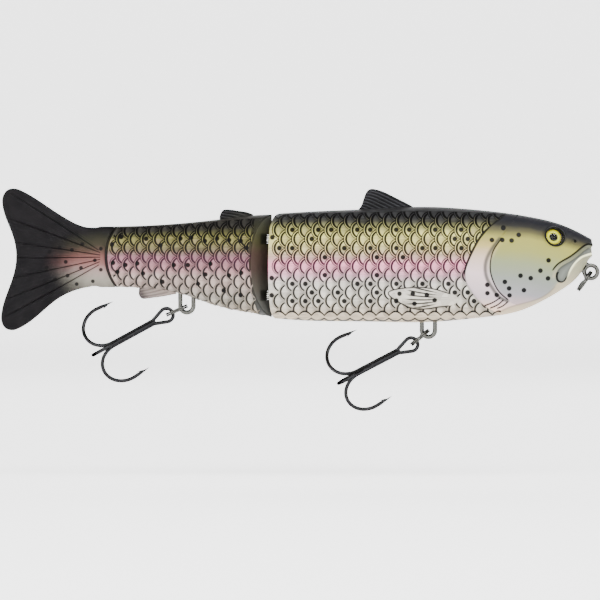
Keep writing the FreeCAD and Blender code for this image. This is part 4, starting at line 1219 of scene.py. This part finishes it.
def rear_section(hull, skin, face_material):
    """Both halves of the rear moulding's skin, with the wedge nose and the round seam edge.

    The rim has a pair of points a hair apart at each slot's edge, so that the slots end sharply.
    """
    quality = 1.0
    edge_radius, hair = 0.4, 0.012
    slot_edges = [
        middle + edge * SLOT_HEIGHT / 2 + offset
        for middle in SLOT_MIDDLES for edge in (-1, 1) for offset in (-hair, hair)
    ]
    slot_angles = [angle_at(hull, height, edge_radius) for height in slot_edges]
    angle = np.sort(np.append(around(int(180 * quality), 15.0, 10.0), slot_angles))
    radius = np.full(angle.shape, edge_radius)
    front = rounded_edge(hull, angle, wedge_plain, radius, -1, 6)
    back = rounded_edge(hull, angle, seam_face, radius, 1, 6)
    ahead = settle(hull, angle, wedge_plain, radius, 0.0, -1)
    behind = settle(hull, angle, seam_face, radius, 0.0, 1)
    body = side_skin(hull, angle, behind, ahead, int(262 * quality))
    grid = np.concatenate([back, body, front[:, ::-1]], 1)
    height = row_heights(grid, hull)
    fields, relief = rear_paint(grid[..., 0], grid[..., 2], height)
    relief = relief * step(wedge_plain(grid[..., 1], grid[..., 2]) - grid[..., 0], 0.3, 1.0)

    def moved(_):
        return on_middle_plane(grid + normals_of(grid) * relief[..., None])

    def end_faces(skin_grid):
        return [end_grid(skin_grid[:, -1], wedge_face, 64), end_grid(skin_grid[:, 0], seam_face, 6)]

    fields = pack_fields(fields, grid, height)
    half_skins("rear", "rear_section", moved, end_faces, fields, skin, face_material)


# ---- fins ---------------------------------------------------------------------------------------

def fin_edge(node, downwards):
    """A small fin's free edge, from its rear root to its front one, as points in x and z."""
    tree = target(node)
    low, high = box_mm(node)
    inset = 0.02
    way = 1 if downwards else -1
    steep = np.linspace(low[0] + inset, low[0] + 3.0, 40)
    xs = np.r_[steep, np.linspace(low[0] + 3.1, high[0] - inset, 60)]
    start = low[2] - 5 if downwards else high[2] + 5
    return np.array([(x, seen(tree, (x, 0.1, start), (0, 0, way)).z) for x in xs])


def plate(name, flat, half, fields, borders, material, sharp, mirrored=False):
    """A thin piece about the middle plane: two faces, and strips that join them along some borders.

    flat holds the faces' x and z, half their distance from the plane, and fields their numbers.
    """
    columns, rows = half.shape
    other = columns * rows
    faces = [
        grid_faces(columns, rows, 0, flip=not mirrored),
        grid_faces(columns, rows, other, flip=mirrored),
    ]
    for border in borders:
        line = border[::-1] if mirrored else border
        faces.append(np.stack([line[:-1], line[:-1] + other, line[1:] + other, line[1:]], -1))
    places = [
        np.stack([flat[..., 0], side * half, flat[..., 1]], -1).reshape(-1, 3)
        for side in (RIGHT, LEFT)
    ]
    both = {
        key: np.tile(np.stack(values, -1).reshape(-1, 3), (2, 1)) for key, values in fields.items()
    }
    return new_mesh(name, np.vstack(places), np.vstack(faces), material, sharp, both)


def even(points, count):
    """Points evenly along a line of points."""
    along = np.r_[0, np.cumsum(np.linalg.norm(np.diff(points, axis=0), axis=1))]
    t = np.linspace(0, along[-1], count)
    return np.stack([np.interp(t, along, points[:, i]) for i in (0, 1)], -1)


def small_fin(name, node, hull, body, material, ray_count, downwards):
    """A soft fin: thick at its root, thin at its edge, with raised rays."""
    outline = fin_edge(node, downwards)
    low, high = box_mm(node)
    thick = (high[1] - low[1]) / 2
    columns, rows = 150, 44
    sign = -1 if downwards else 1
    tip = int(np.argmin(0.5 * outline[:, 0] - sign * outline[:, 1]))
    u = np.linspace(0, 1, columns)
    root_x = low[0] + (high[0] - low[0]) * (0.02 + 0.95 * u)
    root = np.stack([root_x, hull.middle(root_x) + sign * (hull.tall(root_x) - 0.8)], -1)
    rear = even(np.vstack([root[:1], outline[:tip + 1]]), columns)
    crest = even(np.vstack([outline[tip:], root[-1:]])[::-1], rows)
    v = np.linspace(0, 1, rows)
    flat = root[:, None] + (rear - root)[:, None] * v[None, :, None]
    flat += u[:, None, None] * (crest - crest[0] - (crest[-1] - crest[0]) * v[:, None])[None]
    ray = u[:, None] * ray_count
    ray_top = 0.5 + 0.5 * np.cos(2 * math.pi * ray)
    taper = 1 - 0.62 * v[None, :] ** 1.2
    border = step(v, 1.0, 0.93)[None, :] * step(u, 1.0, 0.95)[:, None]
    half = thick * taper * (0.35 + 0.65 * border) - 0.2 * ray_top * step(v, 0.02, 0.2)[None, :] * border
    half = np.maximum(half, 0.12)
    rise = np.broadcast_to(v, half.shape)
    index = np.arange(columns * rows).reshape(columns, rows)
    loop = np.concatenate([index[::-1, 0], index[0, 1:], index[1:, -1], index[-1, -2::-1]])
    fields = {"rays": (rise * 10, ray + 0 * rise, rise)}
    fit(plate(name, flat, half, fields, [loop], material, 50, downwards), body, "soft_fin", node)


TAIL_RIBS = (
    ((-157.5, 7.0), (-186.4, 25.6)), ((-157.0, 6.2), (-187.6, 17.6)), ((-157.0, 5.4), (-185.6, 9.6)),
    ((-157.0, 4.7), (-183.9, 4.4)), ((-157.0, 4.0), (-184.6, -1.8)), ((-157.2, 3.2), (-186.6, -8.6)),
    ((-157.4, 2.2), (-187.9, -14.6)),
)


def profile_of(tree, xs, start, way):
    """The target's outline over x from above or below, bridging the gap at the knuckle."""
    hits = [(x, tree.ray_cast(Vector((x, 0.2, start)), Vector((0, 0, way)))[0]) for x in xs]
    return np.array([(x, place.z) for x, place in hits if place is not None])


def tail_borders():
    """The tail's four borders in x and z, read from the CAD root and blade."""
    tree = target("tail_fin_root", "tail_fin_blade")
    low, high = box_mm("tail_fin_blade")
    root_low, root_high = box_mm("tail_fin_root")
    far = 60.0
    corner = 1.4
    middle = (low[2] + high[2]) / 2
    blade = points_of("tail_fin_blade")
    upper_tip = blade[blade[:, 2] > middle][:, 0].min() + corner
    lower_tip = blade[blade[:, 2] < middle][:, 0].min() + corner
    top_z, bottom_z = root_high[2] - 0.02, root_low[2] + 0.02
    seam_z = np.linspace(bottom_z, top_z, 60)
    seam = np.stack([seam_face(0, seam_z), seam_z], -1)
    upper_x = np.linspace(seam[-1, 0] - 0.6, upper_tip, 90)
    lower_x = np.linspace(seam[0, 0] - 0.6, lower_tip, 90)
    upper = profile_of(tree, upper_x, far, -1)
    lower = profile_of(tree, lower_x, -far, 1)
    upper = np.vstack([seam[-1:], upper])
    lower = np.vstack([seam[:1], lower])
    back_z = np.linspace(lower[-1, 1] + 0.05, upper[-1, 1] - 0.05, 120)
    back = np.array([(seen(tree, (-far * 5, 0.2, z), (1, 0, 0)).x, z) for z in back_z])
    back = np.vstack([lower[-1:], back, upper[-1:]])
    return seam, back, lower, upper


def smoothed(points):
    """Points moved a little towards their neighbours' mean, ends kept."""
    points = points.copy()
    for _ in range(6):
        points[1:-1] = points[1:-1] * 0.5 + (points[:-2] + points[2:]) * 0.25
    return points


def tail(material):
    """The soft tail in one piece, from the seam to the fork, over both CAD parts and the gap where they
    meet.
    """
    columns, rows = 190, 150
    seam, back, lower, upper = tail_borders()
    seam, back = smoothed(even(seam, rows)), smoothed(even(back, rows))
    lower, upper = smoothed(even(lower, columns)), smoothed(even(upper, columns))
    u = np.linspace(0, 1, columns)[:, None, None]
    v = np.linspace(0, 1, rows)[None, :, None]
    flat = (1 - v) * lower[:, None] + v * upper[:, None] + (1 - u) * seam[None] + u * back[None]
    flat -= (1 - u) * (1 - v) * seam[0] + (1 - u) * v * seam[-1] + u * (1 - v) * back[0] + u * v * back[-1]
    x, z = flat[..., 0], flat[..., 1]
    thick = spline(
        (-190, -180, -172, -167, -163, -160, -156, -152, -148),
        (0.5, 0.75, 0.95, 1.15, 1.7, 2.35, 3.1, 3.5, 3.75),
    )(x)
    roundness = np.interp(x, (-170, -160, -154), (7.0, 3.2, 2.1))
    across = np.abs(2 * v[..., 0] - 1) * np.ones_like(x)
    profile = np.maximum(1 - across ** roundness, 0) ** (1 / roundness)
    ending = step(u[..., 0], 1.0, 0.985) * 0.75 + 0.25
    half = thick * profile * ending
    groove = np.full(x.shape, MARK_REACH)
    for start, end in TAIL_RIBS:
        bow = ((start[0] + end[0]) / 2, (start[1] + end[1]) / 2 + 0.01 * (end[1] - 4.7))
        groove = np.minimum(groove, line_distance(x, z, curve((start, bow, end), 30))[0])
    fine = np.full(x.shape, MARK_REACH)
    for first, second in zip(np.array(TAIL_RIBS[:-1]), np.array(TAIL_RIBS[1:])):
        root, tip = (first + second) / 2
        begin = (root[0] - 9.0, root[1] + (tip[1] - root[1]) * 0.32)
        fine = np.minimum(fine, line_distance(x, z, (begin, tip))[0])
    ribs = 0.2 * ridge(groove - 0.42, 0.22) - 0.16 * ridge(groove, 0.16) - 0.07 * ridge(fine, 0.3)
    half = np.maximum(half + ribs * step(profile, 0.3, 0.8) * step(x, -156.5, -160.0), 0.0)
    spot = spot_distance(x, z, TAIL_SPOTS, 0.6)
    root_reach = np.hypot((x + 156) * 0.8, (z - 4.0) * 0.95)
    dusk = np.interp(root_reach, (2.0, 6.0, 11.0, 18.0), (0.0, 0.2, 0.6, 1.0)) + step(z, 9.0, 15.0) * 0.25
    index = np.arange(columns * rows).reshape(columns, rows)
    fields = {"tail": (x, spot, groove), "tone": (z, dusk, 0 * x)}
    piece = plate("tail_fin", flat, half, fields, [index[-1, ::-1], index[0]], material, 60)
    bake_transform(piece)
    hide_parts("tail_fin_root", "tail_fin_blade")


# ---- rings and eye rims -------------------------------------------------------------------------

def split_ring(name, node, body, material):
    """Flattened wire wound twice, with a crossover and two cut ends."""
    centre, axis = flat_axis(node)
    first = np.array([0.0, 1.0, 0.0])
    second = np.cross(axis, first)
    second /= np.linalg.norm(second)
    low, high = box_mm(node)
    half_wide, half_thick, lift, squareness, cut = 0.42, 0.29, 0.31, 0.45, 0.004
    radius = (high[1] - low[1]) / 2 - half_wide
    stations, section = 260, 16
    places = []
    for t in np.linspace(0, 1, stations):
        a = math.radians(12 + 700 * t)
        out = first * math.cos(a) + second * math.sin(a)
        layer = (step(t, 0.47, 0.53) * 2 - 1) * lift
        trim = min(1.0, (min(t, 1 - t) / cut) ** 0.5)
        for k in range(section):
            cosine, sine = math.cos(2 * math.pi * k / section), math.sin(2 * math.pi * k / section)
            wide = half_wide * math.copysign(abs(cosine) ** squareness, cosine) * (0.82 + 0.18 * trim)
            thick = half_thick * math.copysign(abs(sine) ** squareness, sine) * (0.75 + 0.25 * trim)
            places.append(centre + out * (radius + wide) + axis * (layer + thick))
    last = (stations - 1) * section
    ends = [list(range(section)), list(range(last, last + section))[::-1]]
    faces = list(grid_faces(stations, section, wrap=True)) + ends
    fit(new_mesh(name, places, faces, material, 45), body, "ring_steel", node)


def eye_rim(name, side, material):
    """The black bead round the eye's lens."""
    centre, axis = EYES[side]
    axis = axis * np.sign(axis[1] * side)
    first = np.cross(axis, (0, 0, 1.0))
    first /= np.linalg.norm(first)
    second = np.cross(axis, first)
    profile = curve(((2.86, 0.3), (2.88, 1.2), (2.98, 1.78), (3.18, 1.92), (3.36, 1.7), (3.42, 1.1)), 14)
    stations = 97
    places = []
    for a in np.linspace(0, 2 * math.pi, stations):
        out = first * math.cos(a) + second * math.sin(a)
        places += [centre + out * radius + axis * rise for radius, rise in profile]
    faces = grid_faces(stations, len(profile), flip=True)
    fit(new_mesh(name, places, faces, material, 60), "front_section", "painted_body")


# ---- staging ------------------------------------------------------------------------------------

def camera():
    """A long lens level with the bait, square to its side."""
    data = bpy.data.cameras.new("camera")
    data.sensor_width = 36.0
    width, distance = 192.0, 1400.0
    data.lens = data.sensor_width * distance / width
    data.clip_start, data.clip_end = 0.05, 20.0
    made = bpy.data.objects.new("camera", data)
    centre_x, centre_z = -93.1, -9.0
    elevation = math.radians(0.6)
    back, up = distance * math.cos(elevation), distance * math.sin(elevation)
    made.location = Vector((centre_x, -back, centre_z + up)) * MM
    made.rotation_euler = (math.pi / 2 - elevation, 0, 0)
    bpy.context.scene.collection.objects.link(made)
    bpy.context.scene.camera = made


PAPER_GLOW = 1.5


def lamp(name, place, aim, size, power):
    """A soft rectangular light; place, aim and size are in metres."""
    data = bpy.data.lights.new(name, "AREA")
    data.shape = "RECTANGLE"
    data.size, data.size_y = size
    data.energy = power
    made = bpy.data.objects.new(name, data)
    made.location = place
    made.rotation_euler = (Vector(aim) - Vector(place)).to_track_quat("-Z", "Y").to_euler()
    made.visible_camera = False
    bpy.context.scene.collection.objects.link(made)


def studio():
    """A wide paper bowl, open to a pale sky, with broad soft lights."""
    look = Look("studio_paper", specular_ior_level=0.0)
    place = look.object_place()
    look.link("Base Color", look.shade((250, 250, 250), 0.985 + look.noise(place, 60.0, 2.0) * 0.03))
    look.link("Roughness", 0.85 + look.noise(place, 40.0) * 0.1)
    look.set(emission_color=(1.0, 1.0, 1.0, 1.0), emission_strength=PAPER_GLOW)
    floor_z = cad_low.z / MM - 22.0
    flat, bend, height, bend_steps, around_count = 2600.0, 1200.0, 1500.0, 16, 96
    profile = [(0.5, floor_z), (flat / 2, floor_z), (flat, floor_z)]
    for a in np.linspace(0, math.pi / 2, bend_steps + 1)[1:]:
        profile.append((flat + bend * math.sin(a), floor_z + bend * (1 - math.cos(a))))
    profile.append((flat + bend, floor_z + bend + height))
    places = []
    for a in np.linspace(0, 2 * math.pi, around_count + 1):
        places += [(r * math.cos(a), r * math.sin(a), z) for r, z in profile]
    centre = [k * len(profile) for k in range(around_count)]
    faces = list(grid_faces(around_count + 1, len(profile))) + [centre]
    sheet = new_mesh("studio_sheet", places, faces, look.material)
    middle = (-0.095, 0, 0)
    lamp("key", (0.2, -0.8, 0.9), middle, (0.8, 0.5), 16)
    lamp("fill", (-0.8, -0.75, 0.35), middle, (0.6, 0.6), 6)
    lamp("back", (-0.1, 0.95, 0.7), middle, (1.0, 0.5), 5)
    world = bpy.data.worlds.new("soft_room")
    world.use_nodes = True
    background = world.node_tree.nodes["Background"]
    background.inputs["Color"].default_value = (1.0, 1.0, 1.0, 1.0)
    background.inputs["Strength"].default_value = 0.4
    bpy.context.scene.world = world


def repaint(nodes, material):
    """Give carried-over CAD nodes a finish."""
    for node in nodes:
        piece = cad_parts[node]
        for place in piece.material_slots:
            place.material = material
        if not piece.material_slots:
            piece.data.materials.append(material)


def build():
    """Everything in the scene."""
    camera()
    snout = (-6.5, -4.6, -3.0, -1.7, -0.9, -0.35, -0.04)
    front_stations = np.r_[np.linspace(-101.4, -66, 8), np.linspace(-61, -9, 12), snout]
    rear_stations = np.r_[np.linspace(-151.6, -106, 14), -103.4]
    front_hull = Hull("front_shell_left", front_stations, 0.0)
    rear_hull = Hull("rear_shell_left", rear_stations, -109.6)
    face = flank_look()
    front_section(front_hull, body_look("trout_front_finish", FRONT_SCALES, True, 0.95, 0.0), face)
    # The rear's finish is a darker copy of the front's, as painted shade.
    rear_section(rear_hull, body_look("trout_rear_finish", REAR_SCALES, False, 0.56, 0.5), face)

    front, rear = ("front_section", front_hull), ("rear_section", rear_hull)
    for kind, (body, hull), ray_count, lines, root, middle, edge in (
        ("dorsal", front, 9, 3.4, (26, 26, 28), (18, 18, 19), (26, 26, 28)),
        ("adipose", rear, 5, 2.2, (34, 34, 30), (26, 26, 25), (24, 24, 25)),
        ("anal", rear, 5, -0.35, (182, 174, 168), (172, 164, 160), (104, 96, 96)),
    ):
        downwards = kind == "anal"
        share = 0.6 if downwards else 0.5
        finish = fin_look(f"{kind}_finish", ((0.0, root), (share, middle), (1.0, edge)), 0.3, lines)
        piece, node = f"{kind}_fin_soft", f"{kind}_fin"
        small_fin(piece, node, hull, body, finish, ray_count, downwards)
    tail(tail_look())

    nickel = metal_look("nickel_wire_finish", (132, 132, 128), 0.12, 0.5, edge=0.05)
    ring_steel = metal_look("ring_steel_finish", (116, 116, 112), 0.12, 0.3, edge=0.05)
    black_nickel = metal_look("black_nickel_finish", (62, 62, 64), 0.16, 0.6, edge=0.02, tarnish=0.3)
    pin_steel = metal_look("pin_steel_finish", (160, 160, 158), 0.25, 0.5)
    lead = metal_look("ballast_finish", (120, 120, 124), 0.55, 1.5)
    split_ring("line_ring_wound", "line_tie_ring", "line_ring", ring_steel)
    for place in ("front", "rear"):
        split_ring(f"{place}_ring_wound", f"{place}_split_ring", f"{place}_ring", ring_steel)
    hinge_wire = metal_look("hinge_wire_finish", (196, 196, 192), 0.2, 0.5)
    repaint(("line_tie_eye", "front_hook_hanger", "rear_hook_hanger"), nickel)
    repaint(("hinge_eye_upper", "hinge_eye_lower"), hinge_wire)
    repaint(("front_treble_hook", "rear_treble_hook"), black_nickel)
    repaint(("hinge_pin", "tail_pin"), pin_steel)
    repaint(("front_ballast_fore", "front_ballast_aft", "rear_ballast"), lead)
    rim = Look("eye_rim_finish", roughness=0.4, specular_ior_level=0.12)
    place = rim.object_place()
    rim.link("Base Color", rim.shade((16, 16, 17), 0.8 + rim.noise(place, 0.5) * 0.4))
    rim.bump(rim.noise(place, 0.4), 0.02, 0.4)
    dome = dome_look()
    for name, side in SIDES:
        repaint((f"eye_iris_{name}",), eye_look(f"eye_iris_{name}", name))
        repaint((f"eye_dome_{name}",), dome)
        eye_rim(f"eye_rim_{name}", side, rim.material)
    studio()


build()
